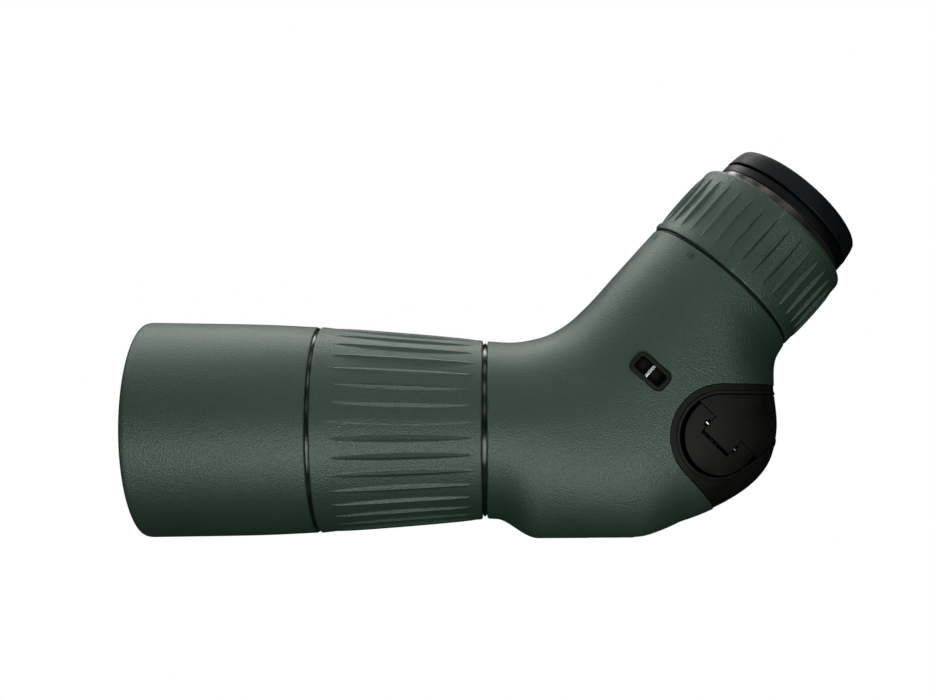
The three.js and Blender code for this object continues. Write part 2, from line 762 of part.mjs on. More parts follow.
function bodyArmour() {
  return OUTSIDE.add(footPad())
    .subtract(ARMOUR_INSIDE)
    .subtract(sidePrism(teardrop(BUMPER_R + GAP, BUMPER_EDGE), -50, 50))
    .subtract(lugPrism(GAP, -50, -20))
    .subtract(plate(PLATE.length + 2 * GAP, PLATE.width + 2 * GAP, PLATE.corner + GAP, -1, 12));
}

function housingCasting() {
  const outer = ARMOUR_WALL + 0.4;
  const shell = armourShell(outer, outer + CASTING_WALL);
  let solid = shell.add(plate(PLATE.length - 2, PLATE.width - 2, PLATE.corner, PLATE.top + GAP, BOSS_TOP));
  for (const [x, y] of screwPlaces()) solid = solid.subtract(uprightCylinder(x, y, 1.8, 0, 8.6));
  return solid
    .subtract(uprightCylinder(BUSH_X, 0, 5.8, 0, 8.2))
    .subtract(lugPrism(GAP, -50, -20))
    .subtract(tabBlock(TAB.halfWidth + 1.4, -TAB.reach - 2, SEAM));
}

// The erecting prism's side view: an entry face square to the tube, an exit face square to the
// ocular axis, and reflecting faces between.
const PRISM = { halfWidth: 20, entryX: -10, exitA: 38, exitHalf: 18 };

function prismOutline() {
  const exit = new THREE.Vector3(ELBOW_X, 0, AXIS_Z).addScaledVector(OCULAR_AXIS, PRISM.exitA);
  const upper = exit.clone().addScaledVector(OCULAR_ACROSS, -PRISM.exitHalf);
  const lower = exit.clone().addScaledVector(OCULAR_ACROSS, PRISM.exitHalf);
  return [
    [PRISM.entryX, 24],
    [30, 20],
    [50, 38],
    [lower.x, lower.z],
    [upper.x, upper.z],
    [PRISM.entryX, 60],
  ].map(([x, z]) => new THREE.Vector2(x, z));
}

// A bent strip of constant thickness that follows three points in the side view.
function strip(points, thickness, halfWidthY) {
  const path = points.map(([x, z]) => new THREE.Vector2(x, z));
  const origin = new THREE.Vector2();
  const offset = (from, to) => to.clone().sub(from).normalize().rotateAround(origin, Math.PI / 2);
  const first = offset(path[0], path[1]);
  const second = offset(path[1], path[2]);
  const bend = first.clone().add(second).normalize();
  const outer = [first, bend, second].map((n, i) => path[i].clone().addScaledVector(n, -thickness));
  return sidePrism(new THREE.Shape([...path, ...outer.reverse()]), -halfWidthY, halfWidthY);
}

function addHousing(group) {
  addPart(group, "body_armour", bodyArmour(), GREEN_RUBBER);
  addPart(group, "housing_casting", housingCasting(), CAST_METAL);
  const glass = sidePrism(new THREE.Shape(prismOutline()), -PRISM.halfWidth, PRISM.halfWidth);
  addPart(group, "erecting_prism", glass, GLASS);
  const cradle = strip([[-10, 23.6], [30, 19.6], [50.2, 37.8]], 2.5, PRISM.halfWidth - 2);
  addPart(group, "prism_cradle", cradle, BLACK_METAL);
  const spring = strip([[14, 82.6], [1, 71], [-10.2, 60.4]], 0.8, 6);
  addPart(group, "prism_clamp_spring", spring, STEEL);
}

// ---- Zoom ring and the cells that it drives ----

const OCULAR_R = 28.8; // outside of the fixed barrel that the zoom ring turns on
const OCULAR_BORE = 26.6;
const ZOOM_CAM = { inner: 29.2, outer: 30.3, from: 77.4, to: 102.8 };
const ZOOM_CELLS = [
  { name: "front", station: 82, azimuth: Math.PI / 2, direction: 1 },
  { name: "rear", station: 95, azimuth: -Math.PI / 2, direction: -1 },
];

function zoomGripSleeve() {
  const ribFrom = ZOOM_START_A + 3.8;
  const ribTo = ZOOM_END_A - 4.4;
  const outer = [
    [ZOOM_R - 0.4, ZOOM_START_A],
    [ZOOM_R, ZOOM_START_A + 0.5],
    [ZOOM_R, ribFrom],
    [ZOOM_R - SCOOP, (ribFrom + ribTo) / 2],
    [ZOOM_R, ribTo],
    [ZOOM_R, ZOOM_END_A - 1.2],
    [ZOOM_R - 0.3, ZOOM_END_A - 0.4],
    [ZOOM_R - 1, ZOOM_END_A],
  ];
  const inner = [
    [32, ZOOM_END_A],
    [32, ZOOM_START_A],
  ];
  const sleeve = ribbedSleeve(outer, inner, ribFrom, ribTo, RIB_HEIGHT);
  return sleeve.add(indexNub());
}

// A small raised index mark at the front edge of the zoom ring.
function indexNub() {
  const height = 1.4;
  const geometry = new THREE.CylinderGeometry(1.3, 1.6, height, 10);
  geometry.rotateX(Math.PI / 2);
  return solidOf(geometry.translate(0, 79, ZOOM_R + 0.7 - height / 2));
}

function zoomCamTube() {
  const middle = (ZOOM_CAM.inner + ZOOM_CAM.outer) / 2;
  return ZOOM_CELLS.reduce(
    (wall, cell) =>
      wall.subtract(
        camChannel(middle, cell.azimuth, cell.station, ZOOM_TURN, cell.direction * ZOOM_TRAVEL, CUTTER_R),
      ),
    tube(ZOOM_CAM.inner, ZOOM_CAM.outer, ZOOM_CAM.from, ZOOM_CAM.to),
  );
}

function ocularBarrel() {
  const wall = turned([
    [OCULAR_BORE, 64],
    [OCULAR_R, 64],
    [OCULAR_R, 102.8],
    [OCULAR_BORE, 102.8],
    [OCULAR_BORE, 113.6],
    [25, 113.6],
    [25, 101.6],
    [OCULAR_BORE, 101.6],
  ]);
  const reach = ZOOM_TRAVEL + DRIVE_PIN_R + 0.6;
  return ZOOM_CELLS.reduce(
    (solid, cell) =>
      solid.subtract(
        axialSlot(cell.azimuth, 24, 32, cell.station - reach, cell.station + reach, 1.4),
      ),
    wall,
  );
}

function zoomTrimRing() {
  return tube(29.3, 33.6, BODY_END_A + 0.2, ZOOM_START_A - GAP, OUTER_SIDES);
}

function addZoom(along) {
  addPart(along, "zoom_grip_sleeve", zoomGripSleeve(), GREEN_RUBBER);
  addPart(along, "zoom_ring_core", tube(30.6, 31.7, ZOOM_START_A + 0.4, ZOOM_END_A - 0.3), BLACK_METAL);
  addPart(along, "zoom_cam_tube", zoomCamTube(), CAST_METAL);
  addPart(along, "ocular_barrel", ocularBarrel(), BLACK_METAL);
  addPart(along, "zoom_trim_ring", zoomTrimRing(), BLACK_METAL);
  for (const { name, station, azimuth } of ZOOM_CELLS) {
    addPart(along, `zoom_${name}_cell`, slidingCell(26.1, station, 6, 21, [azimuth]), BLACK_METAL);
    addPart(along, `zoom_${name}_lens`, lens(21, station - 1, station + 1.2, 0, 1.4), GLASS);
    addPart(along, `zoom_drive_pin_${name}`, radialPin(azimuth, station, 21.9, 30.1, DRIVE_PIN_R), STEEL);
  }
  addPart(along, "field_stop", tube(14, 26.2, 66, 68), BLACK_METAL);
}

// ---- Eyepiece end and eyecup ----

function eyepieceCollar() {
  return turned(
    [
      [26.9, 103.2],
      [30.1, 103.2],
      [30.1, COLLAR_END_A],
      [28.8, COLLAR_END_A],
      [28.8, 104],
      [26.9, 104],
    ],
    OUTER_SIDES,
  );
}

function eyecupSeat() {
  const chamfer = 0.3;
  return turned(
    [
      [28.8, COLLAR_END_A + GAP],
      [30.1, COLLAR_END_A + GAP],
      [30.1, SEAT_END_A - chamfer],
      [30.1 - chamfer, SEAT_END_A],
      [28.8, SEAT_END_A],
    ],
    OUTER_SIDES,
  );
}

function eyecupRubber() {
  const rim = 1.2;
  return turned(
    [
      [28.6, CUP_START_A],
      [CUP_R, CUP_START_A],
      [CUP_R - 0.9, CUP_END_A - 2],
      [CUP_R - 1.4, CUP_END_A - 0.6],
      [CUP_R - 2.6, CUP_END_A],
      [23.4, CUP_END_A - 0.5],
      [22.4, CUP_END_A - rim],
      [22.4, 119.9],
      [28.6, 119.9],
    ],
    OUTER_SIDES,
  );
}

function addEyepiece(along) {
  addPart(along, "eyepiece_collar", eyepieceCollar(), BRONZE_METAL);
  addPart(along, "eyecup_seat", eyecupSeat(), BLACK_METAL);
  addPart(along, "eye_lens_cell", turned([
    [17, 104.6],
    [24.6, 104.6],
    [24.6, 113.9],
    [18.4, 113.2],
    [18.4, 106.2],
    [17, 106.2],
  ]), BLACK_METAL);
  addPart(along, "eye_lens", lens(18.1, 106.5, 109.5, 0, 2.2), GLASS);
  addPart(along, "eyecup_guide_ring", tube(27.2, 28.4, 104.4, 116.5, OUTER_SIDES), LOW_FRICTION);
  addPart(along, "eyecup_core", tube(25.4, 28.3, 116.9, 119.5, OUTER_SIDES), BLACK_METAL);
  addPart(along, "eyecup_rubber", eyecupRubber(), BLACK_RUBBER);
}

// ---- Assembly ----

function spottingScope() {
  const scope = new THREE.Group();
  const optical = axisGroup(0, 0);
  const ocular = axisGroup(ELBOW_X, OCULAR_TILT);
  scope.add(optical.tilted, ocular.tilted);
  addObjective(optical.along);
  addFocus(optical.along);
  addHousing(scope);
  addTripodFoot(scope);
  addStrapFittings(scope);
  addZoom(ocular.along);
  addEyepiece(ocular.along);
  return scope;
}

export default spottingScope();
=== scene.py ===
"""Looks for an angled spotting scope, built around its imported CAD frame.

Round pieces are turned again from the profiles of their CAD nodes, with rounded corners and ribs.
The rubber armour, the rear bumper and the strap fittings are cut from one smooth skin that follows
the body's side outline. Metres throughout, unless a name ends in _MM.
"""
import json
import math

import bpy
import numpy as np
from mathutils import Matrix, Vector


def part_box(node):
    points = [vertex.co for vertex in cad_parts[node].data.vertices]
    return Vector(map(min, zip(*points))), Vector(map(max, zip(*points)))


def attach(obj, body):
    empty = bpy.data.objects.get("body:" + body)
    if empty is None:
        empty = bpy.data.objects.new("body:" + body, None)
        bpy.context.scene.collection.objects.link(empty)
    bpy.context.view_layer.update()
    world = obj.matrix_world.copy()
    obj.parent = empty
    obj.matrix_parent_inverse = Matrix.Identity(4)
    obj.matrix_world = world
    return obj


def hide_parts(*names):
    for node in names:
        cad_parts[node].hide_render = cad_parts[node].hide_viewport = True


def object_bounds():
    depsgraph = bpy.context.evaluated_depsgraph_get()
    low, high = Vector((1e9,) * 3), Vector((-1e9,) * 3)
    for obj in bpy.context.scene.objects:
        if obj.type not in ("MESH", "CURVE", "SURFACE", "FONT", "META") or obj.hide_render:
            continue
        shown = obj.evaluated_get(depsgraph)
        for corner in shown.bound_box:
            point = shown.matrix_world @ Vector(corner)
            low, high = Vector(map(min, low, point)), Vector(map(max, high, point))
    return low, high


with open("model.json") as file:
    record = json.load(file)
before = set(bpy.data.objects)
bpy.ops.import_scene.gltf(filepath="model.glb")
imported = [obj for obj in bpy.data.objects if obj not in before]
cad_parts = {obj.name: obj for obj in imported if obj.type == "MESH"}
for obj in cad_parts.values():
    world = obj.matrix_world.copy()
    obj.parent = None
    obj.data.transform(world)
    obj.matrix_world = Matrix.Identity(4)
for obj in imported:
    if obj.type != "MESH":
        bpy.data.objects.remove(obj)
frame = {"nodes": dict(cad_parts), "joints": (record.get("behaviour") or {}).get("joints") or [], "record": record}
CAD_LOW, CAD_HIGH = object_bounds()
MM = 0.001
JOINTS = {joint["name"]: joint for joint in frame["joints"]}
NODES = frame["nodes"]
NEAR = Vector((0, -1, 0))


# ---- Axes: stations run along one, and angles start at the top and turn towards the viewer ----


class Axis:
    """A line with its own up and side directions, for turned pieces."""

    def __init__(self, origin, along):
        self.origin = Vector(origin)
        self.along = Vector(along).normalized()
        self.side = NEAR
        self.up = self.side.cross(self.along)

    def points(self, stations, radii, angles):
        """World points as an array, for arrays of the same length."""
        o, a, u, s = (np.array(v) for v in (self.origin, self.along, self.up, self.side))
        radial = np.cos(angles)[:, None] * u + np.sin(angles)[:, None] * s
        return o + stations[:, None] * a + radii[:, None] * radial

    def polar(self, points):
        """Station, radius and angle of each point of an array."""
        rel = points - np.array(self.origin)
        station = rel @ np.array(self.along)
        up = rel @ np.array(self.up)
        side = rel @ np.array(self.side)
        return station, np.hypot(up, side), np.arctan2(side, up)


OPTICAL = Axis(JOINTS["focus_ring_turn"]["pos_m"], JOINTS["focus_ring_turn"]["axis"])
OCULAR = Axis(JOINTS["zoom_ring_turn"]["pos_m"], JOINTS["zoom_ring_turn"]["axis"])


def vertex_points(mesh):
    """The vertices of a mesh as rows of an array."""
    points = np.zeros(len(mesh.vertices) * 3)
    mesh.vertices.foreach_get("co", points)
    return points.reshape(-1, 3)


def span(node, axis):
    """Lowest and highest station of a CAD node along an axis, and its largest radius."""
    station, radius, _ = axis.polar(vertex_points(NODES[node].data))
    return station.min(), station.max(), radius.max()


# ---- Meshes ----


def mesh_object(name, points, faces, smooth=True):
    mesh = bpy.data.meshes.new(name)
    mesh.from_pydata([tuple(p) for p in points], [], faces)
    mesh.validate()
    mesh.update()
    if smooth:
        mesh.shade_smooth()
    piece = bpy.data.objects.new(name, mesh)
    bpy.context.scene.collection.objects.link(piece)
    return piece


def take_over(piece, body, material, slot, *nodes):
    """The piece rides on a body, shows a material and stands for CAD nodes."""
    piece.data.materials.clear()
    piece.data.materials.append(material)
    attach(piece, body)
    if nodes:
        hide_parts(*nodes)
    return piece


def apply_modifiers(piece):
    """Replaces the piece's mesh by its evaluated one."""
    graph = bpy.context.evaluated_depsgraph_get()
    made = bpy.data.meshes.new_from_object(piece.evaluated_get(graph))
    piece.modifiers.clear()
    piece.data = made


def boolean(piece, other, operation):
    """Cuts, joins or trims a piece with another one, which is used up."""
    modifier = piece.modifiers.new("boolean", "BOOLEAN")
    modifier.object = other
    modifier.operation = operation
    modifier.solver = "MANIFOLD"
    apply_modifiers(piece)
    bpy.data.objects.remove(other)
    return piece


def shade(piece, angle):
    """Smooth shading that keeps edges sharper than an angle in degrees."""
    piece.data.shade_smooth()
    bpy.context.view_layer.objects.active = piece
    piece.data.set_sharp_from_angle(angle=math.radians(angle))
    return piece


# ---- Turned pieces ----

KEYS_PER_METRE = 1e5  # profile points closer than 0.01 mm count as one
ON_AXIS = 0.01 * MM
WEDGES_PER_DEGREE = 5
WEDGE_SHIFT = 0.137  # keeps the borders between wedges off the CAD's own angles
SHALLOW_TURN = math.radians(24)
MOST_CUT = 0.48  # share of a profile's stretch that one corner may use up
CORNER_STEPS = 5
TURNED_SEGMENTS = 144
RING_SEGMENTS = 160


def cad_profile(node, axis):
    """The half-section of a turned CAD node as (station, radius) rows, from a wedge without ribs."""
    mesh = NODES[node].data
    station, radius, angle = axis.polar(vertex_points(mesh))
    ends = np.zeros(len(mesh.edges) * 2, int)
    mesh.edges.foreach_get("vertices", ends)
    ends = ends.reshape(-1, 2)
    key = np.round(np.stack([station, radius], 1) * KEYS_PER_METRE).astype(int)
    wedge = np.round(np.degrees(angle) * WEDGES_PER_DEGREE + WEDGE_SHIFT).astype(int)
    wedge = wedge % (360 * WEDGES_PER_DEGREE)
    on_axis = radius < ON_AXIS
    wedges, member = np.unique(wedge, return_inverse=True)
    bulk = np.bincount(member, weights=1 + radius)
    for chosen in wedges[np.argsort(bulk, kind="stable")]:
        kept = ends[((wedge == chosen) | on_axis)[ends].all(axis=1) & ~on_axis[ends].all(axis=1)]
        rows = chain(kept, key, station, radius)
        if len(rows) > 3 and np.ptp(rows[:, 0]) > 0.99 * np.ptp(station):
            return rows
    raise ValueError(f"{node} has no plain wedge")


def chain(pairs, key, station, radius):
    """Follows edges, given as pairs of vertices, from one free end or all the way round."""
    links, places = {}, {}
    for a, b in pairs:
        here, there = tuple(key[a]), tuple(key[b])
        if here == there:
            continue
        links.setdefault(here, set()).add(there)
        links.setdefault(there, set()).add(here)
        places[here] = (station[a], radius[a])
        places[there] = (station[b], radius[b])
    if not links:
        return np.zeros((0, 2))
    free = [k for k in links if len(links[k]) == 1]
    path = [min(free or links)]
    while True:
        following = sorted(k for k in links[path[-1]] if k not in path)
        if not following:
            return np.array([places[k] for k in path])
        path.append(following[0])


def round_corners(profile, radius, closed=True):
    """Cuts each corner with a smooth bend: sharp ones by the radius, shallow ones as far as they go."""
    rows = []
    count = len(profile)
    for i in range(count):
        here = profile[i]
        if not closed and i in (0, count - 1):
            rows.append(here)
            continue
        back = profile[i - 1] - here
        ahead = profile[(i + 1) % count] - here
        most = MOST_CUT * min(np.linalg.norm(back), np.linalg.norm(ahead))
        back = back / np.linalg.norm(back)
        ahead = ahead / np.linalg.norm(ahead)
        turn = math.pi - math.acos(np.clip(back @ ahead, -1, 1))
        if turn < 1e-3:
            rows.append(here)
            continue
        cut = most if turn < SHALLOW_TURN else min(radius * math.tan(turn / 2), most)
        a = here + back * cut
        b = here + ahead * cut
        for t in np.linspace(0, 1, CORNER_STEPS + 1):
            rows.append((1 - t) ** 2 * a + 2 * t * (1 - t) * here + t * t * b)
    return np.array(rows)


def finely(profile, step):
    """Splits the stretches of a closed profile so that none is longer than step."""
    rows = []
    for a, b in zip(profile, np.roll(profile, -1, axis=0)):
        parts = max(1, int(math.ceil(np.linalg.norm(b - a) / step)))
        rows.extend(a + (b - a) * k / parts for k in range(parts))
    return np.array(rows)


def grid_faces(rows, columns, joined=False):
    """Quads of a grid whose columns close in a ring. Joined, the last row meets the first one."""
    steps = rows if joined else rows - 1
    r, c = (g.ravel() for g in np.meshgrid(np.arange(steps), np.arange(columns), indexing="ij"))
    below = (r + 1) % rows
    beside = (c + 1) % columns
    corners = [
        r * columns + c,
        r * columns + beside,
        below * columns + beside,
        below * columns + c,
    ]
    return [tuple(quad) for quad in np.stack(corners, 1).tolist()]


def cap_faces(rows, columns):
    """Triangles that close a grid's first and last ring with the two points that follow the grid."""
    first = rows * columns
    last = first + 1
    base = (rows - 1) * columns
    faces = []
    for c in range(columns):
        d = (c + 1) % columns
        faces.append((first, d, c))
        faces.append((last, base + c, base + d))
    return faces


def revolve(name, axis, profile, segments, relief=None):
    """Turns a profile about an axis. A profile that starts on the axis is closed there by single points.
    relief(stations, angles, radii) gives a radial offset for each point."""
    solid = profile[0][1] < ON_AXIS
    inner = profile[1:-1] if solid else profile
    rows = len(inner)
    angles = np.linspace(0, 2 * math.pi, segments, endpoint=False)
    station = np.repeat(inner[:, 0], segments)
    radius = np.repeat(inner[:, 1], segments)
    angle = np.tile(angles, rows)
    if relief is not None:
        radius = radius + relief(station, angle, radius)
    points = axis.points(station, radius, angle)
    faces = grid_faces(rows, segments, joined=not solid)
    if solid:
        tips = np.array([profile[0][0], profile[-1][0]])
        points = np.vstack([points, axis.points(tips, np.zeros(2), np.zeros(2))])
        faces += cap_faces(rows, segments)
    piece = mesh_object(name, points, faces)
    face_out(piece)
    return piece


def face_out(piece):
    """Turns a closed mesh right side out."""
    mesh = piece.data
    mesh.calc_loop_triangles()
    corners = np.zeros(len(mesh.loop_triangles) * 3, int)
    mesh.loop_triangles.foreach_get("vertices", corners)
    a, b, c = vertex_points(mesh)[corners.reshape(-1, 3)].transpose(1, 0, 2)
    if np.einsum("ij,ij->i", a, np.cross(b, c)).sum() < 0:
        mesh.flip_normals()


def turn_again(node, axis, material, slot, body, corner):
    """A smooth version of a turned CAD node, with rounded corners."""
    profile = cad_profile(node, axis)
    closed = profile[0][1] > ON_AXIS
    profile = round_corners(profile, corner, closed)
    piece = revolve(node + "_fine", axis, profile, TURNED_SEGMENTS)
    shade(piece, 50)
    return take_over(piece, body, material, slot, node)


# ---- Materials ----


def feed(tree, socket, value):
    """Links a socket to another node's output, or gives it a plain value."""
    if isinstance(value, bpy.types.NodeSocket):
        tree.links.new(value, socket)
    else:
        socket.default_value = value


class Nodes:
    """Short hands for building a node material."""

    def __init__(self, name):
        self.material = bpy.data.materials.new(name)
        self.material.use_nodes = True
        self.tree = self.material.node_tree
        self.shader = self.tree.nodes["Principled BSDF"]
        self.place = self.add("ShaderNodeTexCoord").outputs["Object"]

    def add(self, kind, **inputs):
        node = self.tree.nodes.new(kind)
        for key, value in inputs.items():
            feed(self.tree, node.inputs[key.replace("_", " ")], value)
        return node

    def noise(self, size, detail=2.0, roughness=0.5, place=None):
        """Noise whose features are about size wide."""
        return self.add(
            "ShaderNodeTexNoise",
            Vector=place or self.place,
            Scale=1 / size,
            Detail=detail,
            Roughness=roughness,
        ).outputs["Fac"]

    def cells(self, size):
        """Distance to the middle of round cells that are about size wide."""
        return self.add("ShaderNodeTexVoronoi", Vector=self.place, Scale=1 / size).outputs["Distance"]

    def between(self, value, low, high, to_low, to_high):
        return self.add(
            "ShaderNodeMapRange",
            Value=value,
            From_Min=low,
            From_Max=high,
            To_Min=to_low,
            To_Max=to_high,
        ).outputs["Result"]

    def mix(self, share, first, second):
        """Colour between two colours. Sockets 6 and 7 are the mix node's pair for colours."""
        node = self.tree.nodes.new("ShaderNodeMix")
        node.data_type = "RGBA"
        feed(self.tree, node.inputs[0], share)
        feed(self.tree, node.inputs[6], first)
        feed(self.tree, node.inputs[7], second)
        return node.outputs[2]

    def math(self, operation, first, second):
        node = self.tree.nodes.new("ShaderNodeMath")
        node.operation = operation
        feed(self.tree, node.inputs[0], first)
        feed(self.tree, node.inputs[1], second)
        return node.outputs[0]

    def edges(self):
        """1 on sharp outer edges, 0 elsewhere: the mask of the painted edge highlights. A flat surface has a
        pointiness of 0.5.
        """
        pointy = self.add("ShaderNodeNewGeometry").outputs["Pointiness"]
        return self.between(pointy, 0.52, 0.58, 0.0, 1.0)

    def bump(self, height, depth, strength=1.0, rounding=0.0):
        """Relief over a surface whose sharp edges are softened by the rounding radius."""
        node = self.add("ShaderNodeBump", Height=height, Distance=depth, Strength=strength)
        if rounding > 0:
            soft = self.add("ShaderNodeBevel", Radius=rounding)
            soft.samples = 6
            self.tree.links.new(soft.outputs["Normal"], node.inputs["Normal"])
        return node.outputs["Normal"]

    def finish(self, **inputs):
        for key, value in inputs.items():
            feed(self.tree, self.shader.inputs[key.replace("_", " ")], value)
        return self.material


def colour(hexadecimal):
    """Linear colour of an sRGB hex triple."""
    parts = [int(hexadecimal[i : i + 2], 16) / 255 for i in (0, 2, 4)]
    linear = [p / 12.92 if p <= 0.04045 else ((p + 0.055) / 1.055) ** 2.4 for p in parts]
    return (*linear, 1.0)


SHEEN = (0.84, 1.0, 0.914, 1.0)  # the green tint of the rubber's reflections


def armour_rubber():
    """Dark green moulded rubber with a fine pebble grain, its sharp edges painted lighter in patches as a painted
    highlight.
    """
    n = Nodes("armour_rubber")
    grain = n.cells(0.62 * MM)
    wrinkle = n.noise(0.5 * MM, 2.0, 0.5)
    patches = n.noise(14 * MM, 2.0)
    tone = n.mix(n.between(patches, 0.3, 0.7, 0.0, 1.0), colour("1f3327"), colour("23382c"))
    tone = n.mix(n.between(wrinkle, 0.35, 0.65, 0.0, 0.4), tone, colour("13211a"))
    # Painted highlight: sharp edges painted a lighter green in patches.
    edge_highlight = n.math("MULTIPLY", n.edges(), n.between(n.noise(5 * MM), 0.4, 0.6, 0.1, 0.5))
    tone = n.mix(edge_highlight, tone, colour("4c6157"))
    height = n.math("ADD", grain, wrinkle)
    return n.finish(
        Base_Color=tone,
        Roughness=n.between(wrinkle, 0.3, 0.7, 0.4, 0.54),
        Specular_IOR_Level=0.7,
        Specular_Tint=SHEEN,
        Normal=n.bump(height, 0.11 * MM, 1.0),
    )


def black_rubber(name, dark, light, tint):
    """Smooth moulded black rubber with a faint texture, painted shade in its recesses and a painted highlight on
    its sharp edges.
    """
    n = Nodes(name)
    fine = n.noise(0.35 * MM, 3.0, 0.6)
    smudge = n.noise(9 * MM, 3.0)
    # Painted shade: ambient occlusion paints recesses, seams and gaps near black and takes their reflection away.
    open_to_light = n.add("ShaderNodeAmbientOcclusion", Distance=3 * MM).outputs["AO"]
    share = n.between(open_to_light, 0.45, 0.95, 0.0, 1.0)
    tone = n.mix(n.between(smudge, 0.35, 0.65, 0.0, 1.0), colour(dark), colour(light))
    # Painted highlight: sharp edges painted a lighter grey.
    tone = n.mix(n.math("MULTIPLY", n.edges(), 0.35), tone, colour("242625"))
    return n.finish(
        Base_Color=n.mix(share, colour("020202"), tone),
        Roughness=n.between(smudge, 0.3, 0.7, 0.46, 0.6),
        Specular_IOR_Level=n.math("MULTIPLY", share, 0.16),
        Specular_Tint=tint,
        Normal=n.bump(fine, 0.03 * MM, 0.5, rounding=0.5 * MM),
    )


def turned_metal(name, dark, light, axis, rough):
    """Anodised metal with fine lathe marks round an axis."""
    n = Nodes(name)
    along = n.add("ShaderNodeVectorMath", Vector=n.place)
    along.operation = "DOT_PRODUCT"
    along.inputs[1].default_value = axis.along
    stripes = n.add("ShaderNodeCombineXYZ", X=along.outputs["Value"]).outputs[0]
    marks = n.noise(0.12 * MM, 2.0, 0.6, stripes)
    smudge = n.noise(6 * MM, 3.0)
    tone = n.mix(n.between(smudge, 0.3, 0.7, 0.0, 1.0), colour(dark), colour(light))
    # Painted highlight: sharp edges painted a light grey.
    tone = n.mix(n.math("MULTIPLY", n.edges(), 0.4), tone, colour("8c8c8c"))
    return n.finish(
        Base_Color=tone,
        Metallic=0.85,
        Roughness=n.between(smudge, 0.3, 0.7, rough - 0.03, rough + 0.03),
        Normal=n.bump(marks, 0.006 * MM, 0.3),
    )


def cast_metal():
    """Bead-blasted light alloy."""
    n = Nodes("cast_metal")
    blast = n.noise(0.25 * MM, 3.0, 0.6)
    smudge = n.noise(8 * MM, 3.0)
    tone = n.mix(n.between(smudge, 0.3, 0.7, 0.0, 1.0), colour("6f7274"), colour("85888a"))
    return n.finish(
        Base_Color=tone,
        Metallic=0.9,
        Roughness=n.between(blast, 0.3, 0.7, 0.42, 0.56),
        Normal=n.bump(blast, 0.03 * MM, 0.5),
    )


def polished_steel():
    """Bright steel with faint scratches."""
    n = Nodes("polished_steel")
    scratches = n.noise(0.2 * MM, 4.0, 0.7)
    tone = n.mix(n.between(scratches, 0.3, 0.7, 0.0, 1.0), colour("c4c6c8"), colour("dcdee0"))
    return n.finish(
        Base_Color=tone,
        Metallic=1.0,
        Roughness=n.between(scratches, 0.3, 0.7, 0.2, 0.3),
        Normal=n.bump(scratches, 0.0006 * MM, 0.2),
    )


def coated_glass():
    """Optical glass whose coating throws a faint green and violet reflection."""
    n = Nodes("coated_glass")
    facing = n.add("ShaderNodeLayerWeight", Blend=0.35).outputs["Facing"]
    sheen = n.noise(30 * MM, 1.0)
    tint = n.mix(n.between(sheen, 0.3, 0.7, 0.0, 1.0), colour("5fa38a"), colour("7c6cab"))
    tone = n.mix(facing, colour("e9f2ee"), tint)
    return n.finish(
        Base_Color=tone,
        Transmission_Weight=0.92,
        IOR=1.5,
        Roughness=n.between(n.noise(4 * MM, 4.0), 0.3, 0.7, 0.005, 0.03),
        Coat_Weight=0.3,
        Coat_Tint=tint,
    )


def low_friction():
    """Off-white slippery polymer."""
    n = Nodes("low_friction")
    fine = n.noise(0.4 * MM, 3.0)
    tone = n.mix(fine, colour("cdcbc1"), colour("dedcd2"))
    return n.finish(
        Base_Color=tone,
        Roughness=n.between(fine, 0.3, 0.7, 0.4, 0.55),
        Normal=n.bump(fine, 0.02 * MM, 0.4),
    )


def numeral_paint():
    """Dark paint in the engraved numerals."""
    n = Nodes("numeral_paint")
    fine = n.noise(0.3 * MM, 2.0)
    return n.finish(
        Base_Color=n.mix(fine, colour("060807"), colour("0c0f0d")),
        Roughness=n.between(fine, 0.3, 0.7, 0.55, 0.7),
        Normal=n.bump(fine, 0.02 * MM, 0.3),
    )


GREEN = armour_rubber()
BLACK = black_rubber("black_rubber", "0b0d0a", "10120f", (0.97, 1.0, 0.93, 1.0))
EYECUP = black_rubber("eyecup_rubber", "080c0e", "0c1113", (0.9, 0.98, 1.0, 1.0))
ANODISED = turned_metal("black_anodised", "343332", "43413f", OPTICAL, 0.2)
ANODISED_OCULAR = turned_metal("black_anodised_ocular", "0f1214", "16191c", OCULAR, 0.44)
BRONZE = turned_metal("bronze_anodised", "484441", "575350", OCULAR, 0.28)
CAST = cast_metal()
STEEL = polished_steel()
GLASS = coated_glass()
POLYMER = low_friction()
PAINT = numeral_paint()
BY_SLOT = {
    "armour_rubber": GREEN,
    "black_rubber": BLACK,
    "black_anodised": ANODISED,
    "bronze_anodised": BRONZE,
    "cast_metal": CAST,
    "steel": STEEL,
    "coated_glass": GLASS,
    "low_friction": POLYMER,
}


def dress_cad_nodes():
    """Every CAD node that still shows gets the procedural material of its slot."""
    for part in frame["record"]["subparts"]:
        node = NODES[part["node"]]
        node.data.materials.clear()
        node.data.materials.append(BY_SLOT[part["material_slot"]])


# ---- Objective section and focus ring ----

RIB_COUNT = 36
STEPS_PER_RIB = 20
RIB_TAPER = 0.6  # power that narrows and lowers a rib towards its ends
RIB_CREST = 1.1  # 1 is a straight-sided ridge, more makes its sides hollow
GRIP_CORNER = 0.6 * MM
GRIP_STEP = 0.9 * MM
ARMOUR_CORNER = 1.2 * MM
METAL_CORNER = 0.25 * MM


def spindle(share):
    """0 at both ends of a rib, 1 in its middle."""
    inside = np.clip(share, 0, 1)
    return np.sin(inside * math.pi)


def ribs(rib_from, rib_to, half_width, height, floor_radius):
    """Radial relief of pointed ribs: both their width and their height fade towards the ends."""

    def relief(station, angle, radius):
        fade = spindle((station - rib_from) / (rib_to - rib_from)) ** RIB_TAPER
        pitch = 2 * math.pi / RIB_COUNT
        off = angle % pitch - pitch / 2
        across = np.abs(off) * radius / np.maximum(half_width * fade, 0.001 * MM)
        ridge = np.clip(1 - across, 0, 1) ** RIB_CREST
        return np.where(radius > floor_radius, height * fade * ridge, 0.0)

    return relief


